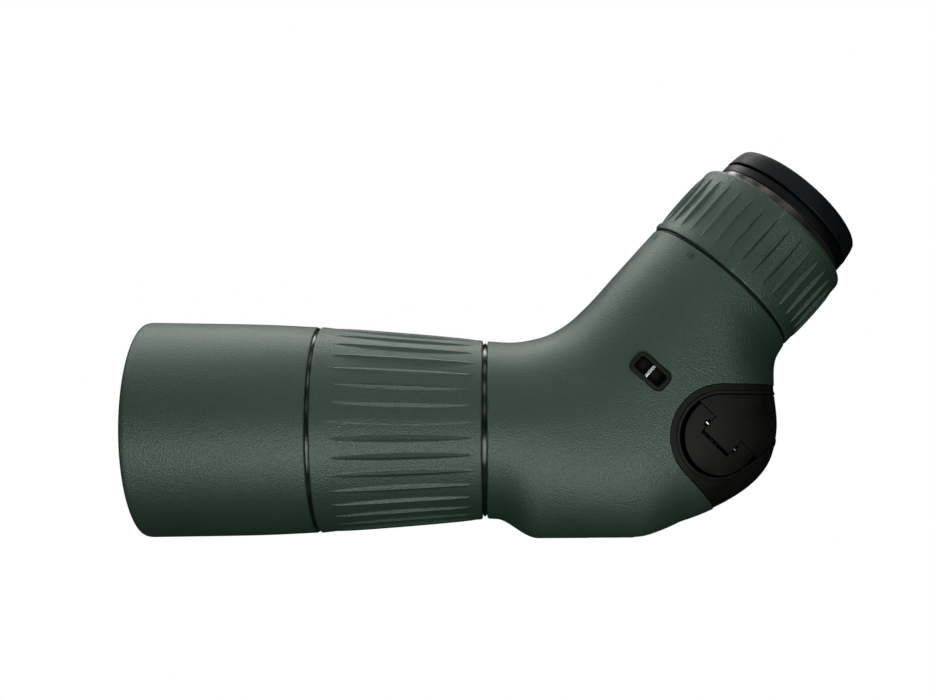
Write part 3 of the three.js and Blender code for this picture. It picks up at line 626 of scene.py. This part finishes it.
def build_grip(node, axis, body, rib_inset, height, half_width, wall):
    """A ribbed grip sleeve: the CAD sleeve's profile, turned finely with ribs outside its wall."""
    low, high, _ = span(node, axis)
    profile = finely(round_corners(cad_profile(node, axis), GRIP_CORNER), GRIP_STEP)
    floor = profile[:, 1].min() + wall
    relief = ribs(low + rib_inset[0], high - rib_inset[1], half_width, height, floor)
    piece = revolve(node + "_fine", axis, profile, RIB_COUNT * STEPS_PER_RIB, relief)
    shade(piece, 60)
    return take_over(piece, body, GREEN, "armour_rubber", node)


def build_objective():
    """The armoured front tube, its metal rings and its three glass elements."""
    for node, material, slot in [
        ("objective_armour", GREEN, "armour_rubber"),
        ("front_bezel", ANODISED, "black_anodised"),
        ("lens_cell", ANODISED, "black_anodised"),
        ("lens_retaining_ring", ANODISED, "black_anodised"),
        ("lens_spacer_front", ANODISED, "black_anodised"),
        ("lens_spacer_rear", ANODISED, "black_anodised"),
        ("objective_lens_front", GLASS, "coated_glass"),
        ("objective_lens_middle", GLASS, "coated_glass"),
        ("objective_lens_rear", GLASS, "coated_glass"),
        ("objective_barrel", ANODISED, "black_anodised"),
    ]:
        corner = ARMOUR_CORNER if node == "objective_armour" else METAL_CORNER
        turn_again(node, OPTICAL, material, slot, "housing", corner)


def build_trim_ring(node, axis, material, before, after):
    """A ring on a lower flange that closes the groove between its two neighbours."""
    low, high, top = span(node, axis)
    start = span(before, axis)[1] + 0.05 * MM
    end = span(after, axis)[0] - 0.1 * MM
    inner = cad_profile(node, axis)[:, 1].min()
    flange = top - 0.45 * MM
    rows = [(start, inner), (start, flange), (low, flange), (low, top)]
    rows += [(high, top), (high, flange), (end, flange), (end, inner)]
    piece = revolve(node + "_fine", axis, round_corners(np.array(rows), 0.12 * MM), RING_SEGMENTS)
    shade(piece, 50)
    return take_over(piece, "housing", material, "black_anodised", node)


build_objective()
build_trim_ring("front_trim_ring", OPTICAL, ANODISED, "objective_armour", "focus_grip_sleeve")
build_trim_ring("rear_trim_ring", OPTICAL, ANODISED, "focus_grip_sleeve", "body_armour")
build_trim_ring("zoom_trim_ring", OCULAR, ANODISED_OCULAR, "body_armour", "zoom_grip_sleeve")
build_grip(
    "focus_grip_sleeve",
    OPTICAL,
    "focus_ring",
    rib_inset=(6.6 * MM, 3 * MM),
    height=0.85 * MM,
    half_width=1.35 * MM,
    wall=2.4 * MM,
)


# ---- The body's skin ----

# Matching points of the top and the bottom of the side outline, from the focus ring round the elbow
# to the ocular tube, and the fullness of the section there: 2 is an ellipse.
OUTLINE_MM = [
    ((-29, 76.9), (-26, 5.9), 2.0),
    ((-21, 78.0), (-8, 5.0), 2.1),
    ((-14, 80.2), (14, 3.0), 2.2),
    ((-7, 84.4), (38, 5.8), 2.3),
    ((-1, 89.7), (59, 15.2), 2.4),
    ((4.5, 95.4), (71.4, 26.6), 2.4),
    ((10.5, 102.2), (75.5, 41), 2.3),
    ((18, 110.5), (74.4, 58), 2.1),
    ((22.8, 115.8), (75, 68.4), 2.0),
]
ARMOUR_WALL = 3 * MM
FRONT_R = span("rear_trim_ring", OPTICAL)[2] + 0.9 * MM
FRONT_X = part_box("body_armour")[0].x
OCULAR_END = span("body_armour", OCULAR)[1]
OCULAR_R = 34.2 * MM
MIDDLE_R = 35 * MM
END_SHARE = 0.02  # the rings stand closer together over this share of the skin at each end
END_RINGS = 8


def outline_rows():
    axis_z = OPTICAL.origin.z
    end = OCULAR.origin + OCULAR.along * OCULAR_END
    first = ((FRONT_X, axis_z + FRONT_R), (FRONT_X, axis_z - FRONT_R), 2.0)
    top = end + OCULAR.up * OCULAR_R
    bottom = end - OCULAR.up * OCULAR_R
    last = ((top.x, top.z), (bottom.x, bottom.z), 2.0)
    middle = [
        ((a[0] * MM, a[1] * MM), (b[0] * MM, b[1] * MM), power) for a, b, power in OUTLINE_MM
    ]
    return [first, *middle, last]


def through(rows, t):
    """Points of a smooth curve through rows of numbers, for an array t from 0 to 1."""
    rows = np.array(rows, float)
    padded = np.vstack([2 * rows[0] - rows[1], rows, 2 * rows[-1] - rows[-2]])
    place = np.clip(t, 0, 1) * (len(rows) - 1)
    i = np.minimum(place.astype(int), len(rows) - 2)
    f = (place - i)[:, None]
    a, b, c, d = padded[i], padded[i + 1], padded[i + 2], padded[i + 3]
    return 0.5 * (
        2 * b + (c - a) * f + (2 * a - 5 * b + 4 * c - d) * f**2 + (3 * b - a - 3 * c + d) * f**3
    )


ROWS = outline_rows()


def skin_rings(t, angles, inset=0.0, end_round=0.0):
    """Points of the skin as a (len(t), len(angles), 3) array, drawn in by inset."""
    top = through([r[0] for r in ROWS], t)
    bottom = through([r[1] for r in ROWS], t)
    power = through([[r[2]] for r in ROWS], t)[:, 0]
    middle = (top + bottom) / 2
    half = np.linalg.norm(top - bottom, axis=1) / 2
    up = (top - bottom) / (2 * half)[:, None]
    width = np.where(
        t < 0.5,
        FRONT_R + (MIDDLE_R - FRONT_R) * t * 2,
        MIDDLE_R + (OCULAR_R - MIDDLE_R) * (t * 2 - 1),
    )
    drawn = np.full(len(t), inset)
    if end_round > 0:
        run = np.concatenate([[0], np.cumsum(np.linalg.norm(np.diff(middle, axis=0), axis=1))])
        to_end = np.minimum(run, run[-1] - run)
        bend = np.clip(end_round - to_end, 0, end_round)
        drawn = drawn + end_round - np.sqrt(end_round**2 - bend**2)
    c, s = np.cos(angles), np.sin(angles)
    fullness = (2 / power)[:, None]
    upward = np.sign(c) * np.abs(c)[None, :] ** fullness * (half - drawn)[:, None]
    sideways = np.sign(s) * np.abs(s)[None, :] ** fullness * (width - drawn)[:, None]
    points = np.zeros((len(t), len(angles), 3))
    points[..., 0] = middle[:, None, 0] + up[:, None, 0] * upward
    points[..., 2] = middle[:, None, 1] + up[:, None, 1] * upward
    points[..., 1] = -sideways
    return points


def skin_solid(name, rings, sides, inset=0.0, overrun=0.0, end_round=0.0, shape=None):
    """A closed solid inside the skin. With an overrun it runs on past both ends."""
    ends = np.linspace(0, 1, END_RINGS + 1)[:-1] * END_SHARE
    t = np.concatenate([ends, np.linspace(END_SHARE, 1 - END_SHARE, rings), 1 - ends[::-1]])
    angles = np.linspace(0, 2 * math.pi, sides, endpoint=False)
    points = skin_rings(t, angles, inset, end_round)
    if shape is not None:
        points = shape(points)
    if overrun > 0:
        front = points[:1] + np.array([-overrun, 0, 0])
        back = points[-1:] + np.array(OCULAR.along) * overrun
        points = np.concatenate([front, points, back])
    middles = np.array([points[0].mean(0), points[-1].mean(0)])
    faces = grid_faces(len(points), sides) + cap_faces(len(points), sides)
    piece = mesh_object(name, np.vstack([points.reshape(-1, 3), middles]), faces)
    face_out(piece)
    return piece


# ---- Outlines in the side view, as (x, z) rows, and the prisms that carry them through the body ----
# A prism or block that cuts runs well past what it cuts, so its far ends are round numbers.

DISC = Vector(JOINTS["strap_tongue_fold"]["pos_m"])  # the hinge pin crosses the disc's middle
BUMPER_R = 19.6 * MM
POCKET_R = 15.8 * MM
BUMPER_FALL = -45  # degrees of the bumper's lower edge
POCKET_FALL = 34
TEARDROP_REACH = 34 * MM  # from the disc's middle past the rear of the body
SIDE_REACH = 0.06  # further out than either side of the body


def arc(centre, radius, start, end, steps):
    """Points on a circle from one angle to another, in degrees from +X towards +Z."""
    angles = np.radians(np.linspace(start, end, steps))
    return [(centre[0] + radius * math.cos(a), centre[1] + radius * math.sin(a)) for a in angles]


def teardrop(radius, lower_angle):
    """A circle about the disc with a level and a sloping straight edge that leave it for the rear."""
    rows = arc((DISC.x, DISC.z), radius, 90, 270 + lower_angle, 72)
    touch_x, touch_z = rows[-1]
    far_x = DISC.x + TEARDROP_REACH
    rows.append((far_x, touch_z + (far_x - touch_x) * math.tan(math.radians(lower_angle))))
    rows.append((far_x, DISC.z + radius))
    return rows


def side_prism(name, rows, from_y, to_y):
    """A closed prism that carries a side-view outline from one Y to another."""
    count = len(rows)
    points = [(x, from_y, z) for x, z in rows] + [(x, to_y, z) for x, z in rows]
    faces = [tuple(range(count)), tuple(range(2 * count - 1, count - 1, -1))]
    for i in range(count):
        j = (i + 1) % count
        faces.append((i, i + count, j + count, j))
    piece = mesh_object(name, points, faces, smooth=False)
    face_out(piece)
    return piece


def turned_rows(rows, centre, degrees):
    """Rows turned about the origin and moved to a centre."""
    c = math.cos(math.radians(degrees))
    s = math.sin(math.radians(degrees))
    return [(centre[0] + x * c - z * s, centre[1] + x * s + z * c) for x, z in rows]


def rounded_rectangle(length, width, corner):
    """Rows of a rectangle about the origin, with eight points round each corner."""
    rows = []
    for sx, sz, start in ((1, 1, 0), (-1, 1, 90), (-1, -1, 180), (1, -1, 270)):
        centre = (sx * (length / 2 - corner), sz * (width / 2 - corner))
        rows.extend(arc(centre, corner, start, start + 90, 8))
    return rows


# ---- Body armour ----

# Turns the side view's Z to Y and its depth to -Z, so that a side prism stands upright.
LAY_DOWN = Matrix(((1, 0, 0, 0), (0, 0, 1, 0), (0, -1, 0, 0), (0, 0, 0, 1)))
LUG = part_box("strap_lug_pin")
LUG_CENTRE = ((LUG[0].x + LUG[1].x) / 2, (LUG[0].z + LUG[1].z) / 2)
ACROSS = -math.degrees(math.atan2(OCULAR.along.x, OCULAR.along.z))  # square to the ocular axis
LUG_LENGTH = 16 * MM
LUG_WIDTH = 8.9 * MM
LUG_CORNER = 3 * MM
PLATE_CUT = (38.4 * MM, 26.4 * MM, 4.2 * MM)  # length, width and corner, 0.2 mm round the foot plate

# The rubber foot: where its front and rear corners lie along X, how far it stands below the plate,
# the slope of its flat, and the ramp from it up to the bumper.
FOOT_FRONT = (-35 * MM, -19 * MM)
FOOT_REAR = (20 * MM, 38 * MM)
FOOT_DROP = 0.6 * MM
FOOT_SLOPE = 0.011
RAMP_START = 21.5 * MM
RAMP_SLOPE = 0.335
RAMP_END = (34 * MM, 46 * MM)


def smoothstep(low, high, value):
    """0 up to low, 1 from high on, and a smooth rise between."""
    share = np.clip((value - low) / (high - low), 0, 1)
    return share * share * (3 - 2 * share)


def soft_above(value, floor, softness):
    """The larger of two values, with a rounded change between them."""
    return 0.5 * (value + floor + np.sqrt((value - floor) ** 2 + softness**2))


def keel(x):
    """Height of the skin's own bottom line."""
    bottom = through([r[1] for r in ROWS], np.linspace(0, 0.8, 400))
    return np.interp(x, bottom[:, 0], bottom[:, 1])


def with_foot(points):
    """Stretches the lower half down to the flat of the foot, with a soft corner all round it."""
    x, z = points[..., 0], points[..., 2]
    axis_z = OPTICAL.origin.z
    own = keel(x)
    front = smoothstep(*FOOT_FRONT, x)
    rear = 1 - smoothstep(*FOOT_REAR, x)
    share = front * rear
    flat = (-FOOT_DROP + FOOT_SLOPE * (x - FOOT_FRONT[1])) * share
    ramp = RAMP_SLOPE * soft_above(x - RAMP_START, 0, 3 * MM)
    ramp = ramp + (own - ramp) * smoothstep(*RAMP_END, x)
    line = flat + np.where(x < 0, own * (1 - front), np.minimum(own, ramp))
    stretch = (axis_z - line + 4 * MM * share) / (axis_z - own)
    lowered = axis_z - (axis_z - z) * stretch
    points = points.copy()
    points[..., 2] = np.where(z < axis_z, soft_above(lowered, line, 1.5 * MM * share), z)
    return points


def lug_outline(grow=0.0):
    """Rows of the strap lug's rounded rectangle, which lies square to the ocular tube."""
    rows = rounded_rectangle(LUG_LENGTH + 2 * grow, LUG_WIDTH + 2 * grow, LUG_CORNER + grow)
    return turned_rows(rows, LUG_CENTRE, ACROSS)


def hollow_core(inset):
    """What is left inside a wall of the skin, long enough to cut through both ends."""
    return skin_solid("inside", 90, 90, inset, overrun=3 * MM)


def build_armour():
    """The skin with its foot, hollowed and cut out for the bumper, the lug and the foot plate."""
    piece = skin_solid("body_armour_fine", 250, 240, end_round=0.7 * MM, shape=with_foot)
    boolean(piece, hollow_core(ARMOUR_WALL), "DIFFERENCE")
    bumper = side_prism("bumper_cut", teardrop(BUMPER_R, BUMPER_FALL), -SIDE_REACH, SIDE_REACH)
    boolean(piece, bumper, "DIFFERENCE")
    boolean(piece, side_prism("lug_cut", lug_outline(0.1 * MM), -SIDE_REACH, -0.02), "DIFFERENCE")
    plate = side_prism("plate_cut", rounded_rectangle(*PLATE_CUT), -12 * MM, 1 * MM)
    plate.data.transform(LAY_DOWN)
    boolean(piece, plate, "DIFFERENCE")
    shade(piece, 40)
    return take_over(piece, "housing", GREEN, "armour_rubber", "body_armour")


build_armour()


# ---- Rear bumper, disc and tongue ----

PIN_AXIS = Vector(JOINTS["strap_tongue_fold"]["axis"])
SEAM = 4 * MM  # from the hinge pin to the line where the tongue meets the disc
TAB_HALF = 7 * MM
TAB_REACH = 2.9 * MM
LIP = 1.1 * MM
REAR_SPLIT_Y = -2.6 * MM  # the pocket ends here, so the far side stays plain
FLOOR_DEPTH = ARMOUR_WALL - 0.15 * MM
UNDER_FLOOR = FLOOR_DEPTH - 0.05 * MM
SHELL_RINGS = 260
BLOCK_DEPTH = 12 * MM  # half the depth of a block about the hinge pin
DISC_SEAT_R = 15.3 * MM
DISC_R = 15.1 * MM
DISC_SHIFT = 1.2 * MM
CIRCLE_STEPS = 144


def ahead_block(name, half, ahead_from, ahead_to):
    """A block in the disc's own directions: across along the pin, ahead towards the tongue's end."""
    rows = [(-half, ahead_from), (half, ahead_from), (half, ahead_to), (-half, ahead_to)]
    return side_prism(name, turned_rows(rows, (DISC.x, DISC.z), ACROSS), -0.07, 0.01)


def pin_block(name, across_from, across_to, ahead_from, ahead_to):
    """A box square to the hinge pin, so that it keeps its place as the tongue turns."""
    outward = PIN_AXIS.cross(OCULAR.along)
    if outward.y > 0:
        outward = -outward
    corners = []
    for a in (across_from, across_to):
        for b in (ahead_from, ahead_to):
            for c in (-BLOCK_DEPTH, BLOCK_DEPTH):
                corners.append(DISC + PIN_AXIS * a + OCULAR.along * b + outward * c)
    faces = [(0, 1, 3, 2), (4, 6, 7, 5), (0, 4, 5, 1), (2, 3, 7, 6), (0, 2, 6, 4), (1, 5, 7, 3)]
    piece = mesh_object(name, corners, faces, smooth=False)
    face_out(piece)
    return piece


def shell(name, outer, inner):
    """A hollow wall of the skin between two depths."""
    return boolean(skin_solid(name, SHELL_RINGS, SHELL_RINGS, outer), hollow_core(inner), "DIFFERENCE")


def pocket_prism(name, grow):
    """A prism with the outline of the bumper's pocket, from outside the near side inwards."""
    return side_prism(name, teardrop(POCKET_R + grow, POCKET_FALL), -SIDE_REACH, REAR_SPLIT_Y + grow)


def pocket_floor():
    """A thin floor under the disc and the tongue, open where the tongue's tab turns."""
    floor = shell("pocket_floor", FLOOR_DEPTH, ARMOUR_WALL + 0.3 * MM)
    boolean(floor, pocket_prism("patch", 0.6 * MM), "INTERSECT")
    half = TAB_HALF + 1.2 * MM
    return boolean(floor, pin_block("window", -half, half, -TAB_REACH - 1.8 * MM, SEAM), "DIFFERENCE")


def build_bumper():
    """The insert with a raised lip round its teardrop pocket."""
    piece = shell("rear_bumper_fine", 0.4 * MM, ARMOUR_WALL)
    lip = shell("lip", 0.05 * MM, ARMOUR_WALL - 0.1 * MM)
    boolean(lip, pocket_prism("rim", LIP), "INTERSECT")
    boolean(piece, lip, "UNION")
    outline = teardrop(BUMPER_R - 0.12 * MM, BUMPER_FALL)
    boolean(piece, side_prism("edge", outline, -SIDE_REACH, SIDE_REACH), "INTERSECT")
    boolean(piece, pocket_prism("pocket", 0.0), "DIFFERENCE")
    boolean(piece, pocket_floor(), "UNION")
    shade(piece, 40)
    return take_over(piece, "housing", BLACK, "black_rubber", "rear_bumper")


def pin_bar(name, radius, half_length):
    """A round bar along the hinge pin's axis."""
    axis = Axis(DISC, PIN_AXIS)
    axis.side = Vector((0, 0, 1)).cross(axis.along).normalized()
    axis.up = axis.side.cross(axis.along)
    rows = np.array([(-half_length, 0), (-half_length, radius), (half_length, radius), (half_length, 0)])
    return revolve(name, axis, round_corners(rows, 0.2 * MM, closed=False), 32)


def circle(x, radius):
    """Rows of a full circle at the disc's height."""
    return arc((x, DISC.z), radius, 0, 360, CIRCLE_STEPS + 1)[:-1]


def build_disc():
    """The disc's face is set off-centre in its pocket, so that a crescent stays open beside it."""
    piece = shell("swivel_disc_fine", 0.45 * MM, UNDER_FLOOR)
    seat = circle(DISC.x, DISC_SEAT_R)
    boolean(piece, side_prism("round", seat, -SIDE_REACH, -0.01), "INTERSECT")
    face = circle(DISC.x + DISC_SHIFT, DISC_R)
    boolean(piece, side_prism("face", face, -0.07, 0), "INTERSECT")
    boolean(piece, ahead_block("seam", 0.02, SEAM - 0.25 * MM, 0.03), "DIFFERENCE")
    gap = TAB_HALF + 0.3 * MM
    boolean(piece, pin_block("tab", -gap, gap, -TAB_REACH - 1.3 * MM, SEAM), "DIFFERENCE")
    for side in (-1, 1):
        ends = sorted((side * TAB_HALF, side * (TAB_HALF + 1.3 * MM)))
        boolean(piece, pin_block("notch", *ends, -1.6 * MM, 1.6 * MM), "DIFFERENCE")
    boolean(piece, pin_bar("bore", 0.9 * MM, 9 * MM), "DIFFERENCE")
    shade(piece, 40)
    return take_over(piece, "housing", BLACK, "black_rubber", "swivel_disc")


def build_tongue():
    """The flap that fills the pocket behind the disc, with a tab that takes the hinge pin."""
    piece = shell("strap_tongue_fine", 0.35 * MM, UNDER_FLOOR)
    flap = pocket_prism("flap", -0.4 * MM)
    boolean(flap, ahead_block("ahead", 0.04, SEAM, 0.06), "INTERSECT")
    boolean(flap, pin_block("tab", -TAB_HALF, TAB_HALF, -TAB_REACH, SEAM + 1 * MM), "UNION")
    boolean(piece, flap, "INTERSECT")
    boolean(piece, pin_bar("bore", 0.95 * MM, 12 * MM), "DIFFERENCE")
    shade(piece, 40)
    return take_over(piece, "strap_tongue", BLACK, "black_rubber", "strap_tongue")


def build_hinge_pin():
    pin = pin_bar("tongue_hinge_pin_fine", 0.65 * MM, 8.4 * MM)
    shade(pin, 50)
    return take_over(pin, "housing", STEEL, "steel", "tongue_hinge_pin")


build_bumper()
build_disc()
build_tongue()
build_hinge_pin()


# ---- Strap lug ----


def build_lug():
    """A shallow cup with rounded edges and a steel cross pin."""
    low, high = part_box("strap_lug_cup")
    cup = side_prism("strap_lug_cup_fine", lug_outline(), low.y, high.y)
    hollow = side_prism("hollow", lug_outline(-1.8 * MM), low.y - 1 * MM, high.y - 1 * MM)
    boolean(cup, hollow, "DIFFERENCE")
    bevel = cup.modifiers.new("bevel", "BEVEL")
    bevel.width = 0.45 * MM
    bevel.segments = 4
    bevel.angle_limit = math.radians(50)
    apply_modifiers(cup)
    shade(cup, 40)
    take_over(cup, "housing", BLACK, "black_rubber", "strap_lug_cup")
    pin_low, pin_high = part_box("strap_lug_pin")
    centre = (pin_low + pin_high) / 2
    axis = Axis(centre, OCULAR.along)
    half = 3.7
    radius = 0.95
    rows = np.array([(-half, 0), (-half, radius), (half, radius), (half, 0)]) * MM
    pin = revolve("strap_lug_pin_fine", axis, round_corners(rows, 0.15 * MM, closed=False), 40)
    shade(pin, 50)
    take_over(pin, "housing", STEEL, "steel", "strap_lug_pin")


build_lug()


# ---- Ocular end ----

NUB_ROOT = 32.5 * MM  # from the ocular axis
NUB_ROOT_R = 1.7 * MM
NUB_TOP_R = 1.45 * MM
NUB_SEGMENTS = 40
NUMERAL_HEIGHT = 2.6 * MM
FONT_SIZE = NUMERAL_HEIGHT * 1.4  # digits of the built-in font fill about 0.7 of its size
NUMERAL_FOOT = 4.6 * MM  # from the end of the rubber tube to the foot of the digits
NUMERALS = {"18": 58, "24": 19, "30": -20, "36": -59}  # degrees round the tube


def build_ocular():
    """The round pieces of the eyepiece. The corner radius of each is in millimetres."""
    for node, material, slot, body, corner in [
        ("eyepiece_collar", BRONZE, "bronze_anodised", "housing", 0.2),
        ("eyecup_seat", ANODISED_OCULAR, "black_anodised", "housing", 0.2),
        ("eye_lens_cell", ANODISED_OCULAR, "black_anodised", "housing", 0.3),
        ("eye_lens", GLASS, "coated_glass", "housing", 0.15),
        ("eyecup_guide_ring", ANODISED_OCULAR, "black_anodised", "eyecup_guide", 0.2),
        ("eyecup_core", ANODISED_OCULAR, "black_anodised", "eyecup", 0.2),
        ("eyecup_rubber", EYECUP, "black_rubber", "eyecup", 0.7),
        ("zoom_ring_core", ANODISED_OCULAR, "black_anodised", "zoom_ring", 0.2),
    ]:
        turn_again(node, OCULAR, material, slot, body, corner * MM)


def build_index_nub():
    """A small raised mark on top of the zoom ring, near its front edge."""
    low, _, top = span("zoom_grip_sleeve", OCULAR)
    centre = OCULAR.points(np.array([low + 2.1 * MM]), np.zeros(1), np.zeros(1))[0]
    axis = Axis(centre, OCULAR.up)
    rows = [(NUB_ROOT, 0), (NUB_ROOT, NUB_ROOT_R), (top - 0.3 * MM, NUB_TOP_R), (top, 0)]
    profile = round_corners(np.array(rows), 0.5 * MM, closed=False)
    nub = revolve("zoom_index_nub", axis, profile, NUB_SEGMENTS)
    return take_over(nub, "zoom_ring", GREEN, "armour_rubber")


def flat_text(text):
    """A mesh of thin digits that lie in the XY plane, centred on X."""
    curve = bpy.data.curves.new("text", "FONT")
    curve.body = text
    curve.size = FONT_SIZE
    curve.extrude = 0.05 * MM
    curve.align_x = "CENTER"
    curve.resolution_u = 4
    letter = bpy.data.objects.new("text", curve)
    bpy.context.scene.collection.objects.link(letter)
    graph = bpy.context.evaluated_depsgraph_get()
    mesh = bpy.data.meshes.new_from_object(letter.evaluated_get(graph))
    bpy.data.objects.remove(letter)
    return mesh


def build_numeral(text, degrees):
    """A painted number beside the zoom ring, wrapped round the tube, its top towards the eyepiece."""
    mesh = flat_text(text)
    across, along, out = vertex_points(mesh).T
    station = OCULAR_END - NUMERAL_FOOT + along
    angle = math.radians(degrees) + across / OCULAR_R
    placed = OCULAR.points(station, OCULAR_R - 0.02 * MM + out, angle)
    mesh.vertices.foreach_set("co", placed.ravel())
    piece = bpy.data.objects.new(f"numeral_{text}", mesh)
    bpy.context.scene.collection.objects.link(piece)
    face_out(piece)
    return take_over(piece, "housing", PAINT, "black_rubber")


build_ocular()
build_index_nub()
for number, degrees in NUMERALS.items():
    build_numeral(number, degrees)
build_grip(
    "zoom_grip_sleeve",
    OCULAR,
    "zoom_ring",
    rib_inset=(3.8 * MM, 4.4 * MM),
    height=1.15 * MM,
    half_width=1.1 * MM,
    wall=1.2 * MM,
)

dress_cad_nodes()


# ---- Stage, lights and camera ----

STAGE_HALF = 3.0
STAGE_DEPTH = 1.6
STAGE_HEIGHT = 2.4
STAGE_BEND = 0.5
BEND_STEPS = 16
MIDDLE_X = -0.036
CAMERA_DISTANCE = 0.48
CAMERA_LENS = 46.26
CAMERA_SHIFT = {"shift_x": -0.0305, "shift_y": 0.0857}


def backdrop_white():
    """White to the camera in front of it. Every other ray goes through, so it throws no light back."""
    material = bpy.data.materials.new("backdrop_white")
    material.use_nodes = True
    tree = material.node_tree
    tree.nodes.clear()
    output = tree.nodes.new("ShaderNodeOutputMaterial")
    path = tree.nodes.new("ShaderNodeLightPath")
    side = tree.nodes.new("ShaderNodeNewGeometry")
    seen = tree.nodes.new("ShaderNodeMath")
    seen.operation = "GREATER_THAN"
    mix = tree.nodes.new("ShaderNodeMixShader")
    glow = tree.nodes.new("ShaderNodeEmission")
    clear = tree.nodes.new("ShaderNodeBsdfTransparent")
    feed(tree, seen.inputs[0], path.outputs["Is Camera Ray"])
    feed(tree, seen.inputs[1], side.outputs["Backfacing"])
    feed(tree, mix.inputs[0], seen.outputs[0])
    feed(tree, mix.inputs[1], clear.outputs[0])
    feed(tree, mix.inputs[2], glow.outputs[0])
    feed(tree, output.inputs["Surface"], mix.outputs[0])
    return material


def build_stage():
    """A pale floor that curves up behind the object."""
    floor_z = CAD_LOW.z
    bend_y = STAGE_DEPTH - STAGE_BEND
    profile = [(-STAGE_HALF, floor_z), (bend_y, floor_z)]
    for k in range(1, BEND_STEPS + 1):
        a = math.radians(90 * k / BEND_STEPS)
        rise = STAGE_BEND * (1 - math.cos(a))
        profile.append((bend_y + STAGE_BEND * math.sin(a), floor_z + rise))
    profile.append((STAGE_DEPTH, floor_z + STAGE_HEIGHT))
    points = [(x, y, z) for y, z in profile for x in (-STAGE_HALF, STAGE_HALF)]
    faces = [(2 * i, 2 * i + 1, 2 * i + 3, 2 * i + 2) for i in range(len(profile) - 1)]
    floor = mesh_object("stage_floor", points, faces)
    floor.data.materials.append(backdrop_white())


def area_light(name, place, target, size, power):
    light = bpy.data.lights.new(name, "AREA")
    light.shape = "RECTANGLE"
    light.size, light.size_y = size
    light.energy = power
    lamp = bpy.data.objects.new(name, light)
    lamp.location = place
    lamp.rotation_euler = (Vector(target) - Vector(place)).to_track_quat("-Z", "Y").to_euler()
    lamp.visible_camera = False
    bpy.context.scene.collection.objects.link(lamp)


# Strip lights all round the object: elevation above the camera's side of the horizon in degrees,
# shift along X, length and power. Those below the horizon give the soft band under the middle.
STRIPS = [
    (122, 0, 0.8, 3.3),
    (85, 0, 0.8, 0.85),
    (55, 0, 0.8, 0.85),
    (25, 0, 0.8, 0.45),
    (-20, 0, 0.8, 2.3),
    (-35, 0, 0.8, 1.8),
    (-65, 0, 0.8, 0.1),
    (110, -0.5, 0.3, 1.0),
    (80, -0.5, 0.3, 1.0),
    (50, 0.5, 0.3, 0.45),
]
STRIP_DISTANCE = 0.7
STRIP_WIDTH = 0.18


def build_lights():
    """Soft strips that all face the middle of the object."""
    middle = Vector((MIDDLE_X, 0, 0.065))
    for elevation, shift, length, power in STRIPS:
        angle = math.radians(elevation)
        away = Vector((shift, -STRIP_DISTANCE * math.cos(angle), STRIP_DISTANCE * math.sin(angle)))
        size = (length, STRIP_WIDTH)
        area_light(f"strip_{elevation}", middle + away, middle, size, power)


def build_world():
    """White to the camera and almost dark to everything else."""
    world = bpy.data.worlds.new("studio")
    world.use_nodes = True
    tree = world.node_tree
    background = tree.nodes["Background"]
    path = tree.nodes.new("ShaderNodeLightPath")
    strength = tree.nodes.new("ShaderNodeMath")
    strength.operation = "MAXIMUM"
    feed(tree, background.inputs["Color"], (1, 1, 1, 1))
    feed(tree, strength.inputs[0], path.outputs["Is Camera Ray"])
    feed(tree, strength.inputs[1], 0.005)
    feed(tree, background.inputs["Strength"], strength.outputs[0])
    bpy.context.scene.world = world


def drive_shift(camera, path, value):
    """The lens shift holds only while the camera stands where the script put it.

    A camera that is moved to look from another side then has the object in the middle.
    """
    driver = camera.data.driver_add(path).driver
    place = driver.variables.new()
    place.name = "y"
    place.type = "TRANSFORMS"
    place.targets[0].id = camera
    place.targets[0].transform_type = "LOC_Y"
    place.targets[0].transform_space = "WORLD_SPACE"
    driver.expression = f"{value} if abs(y - {camera.location.y}) < 0.0001 else 0"


def build_camera():
    """A level camera square to the side, at the tube's height."""
    data = bpy.data.cameras.new("camera")
    data.sensor_width = 36
    data.lens = CAMERA_LENS
    camera = bpy.data.objects.new("camera", data)
    camera.location = (MIDDLE_X, -CAMERA_DISTANCE, OPTICAL.origin.z)
    camera.rotation_euler = (math.radians(90), 0, 0)
    bpy.context.scene.collection.objects.link(camera)
    bpy.context.scene.camera = camera
    for path, value in CAMERA_SHIFT.items():
        drive_shift(camera, path, value)


build_stage()
build_lights()
build_world()
build_camera()
bpy.context.scene.view_settings.view_transform = "Standard"
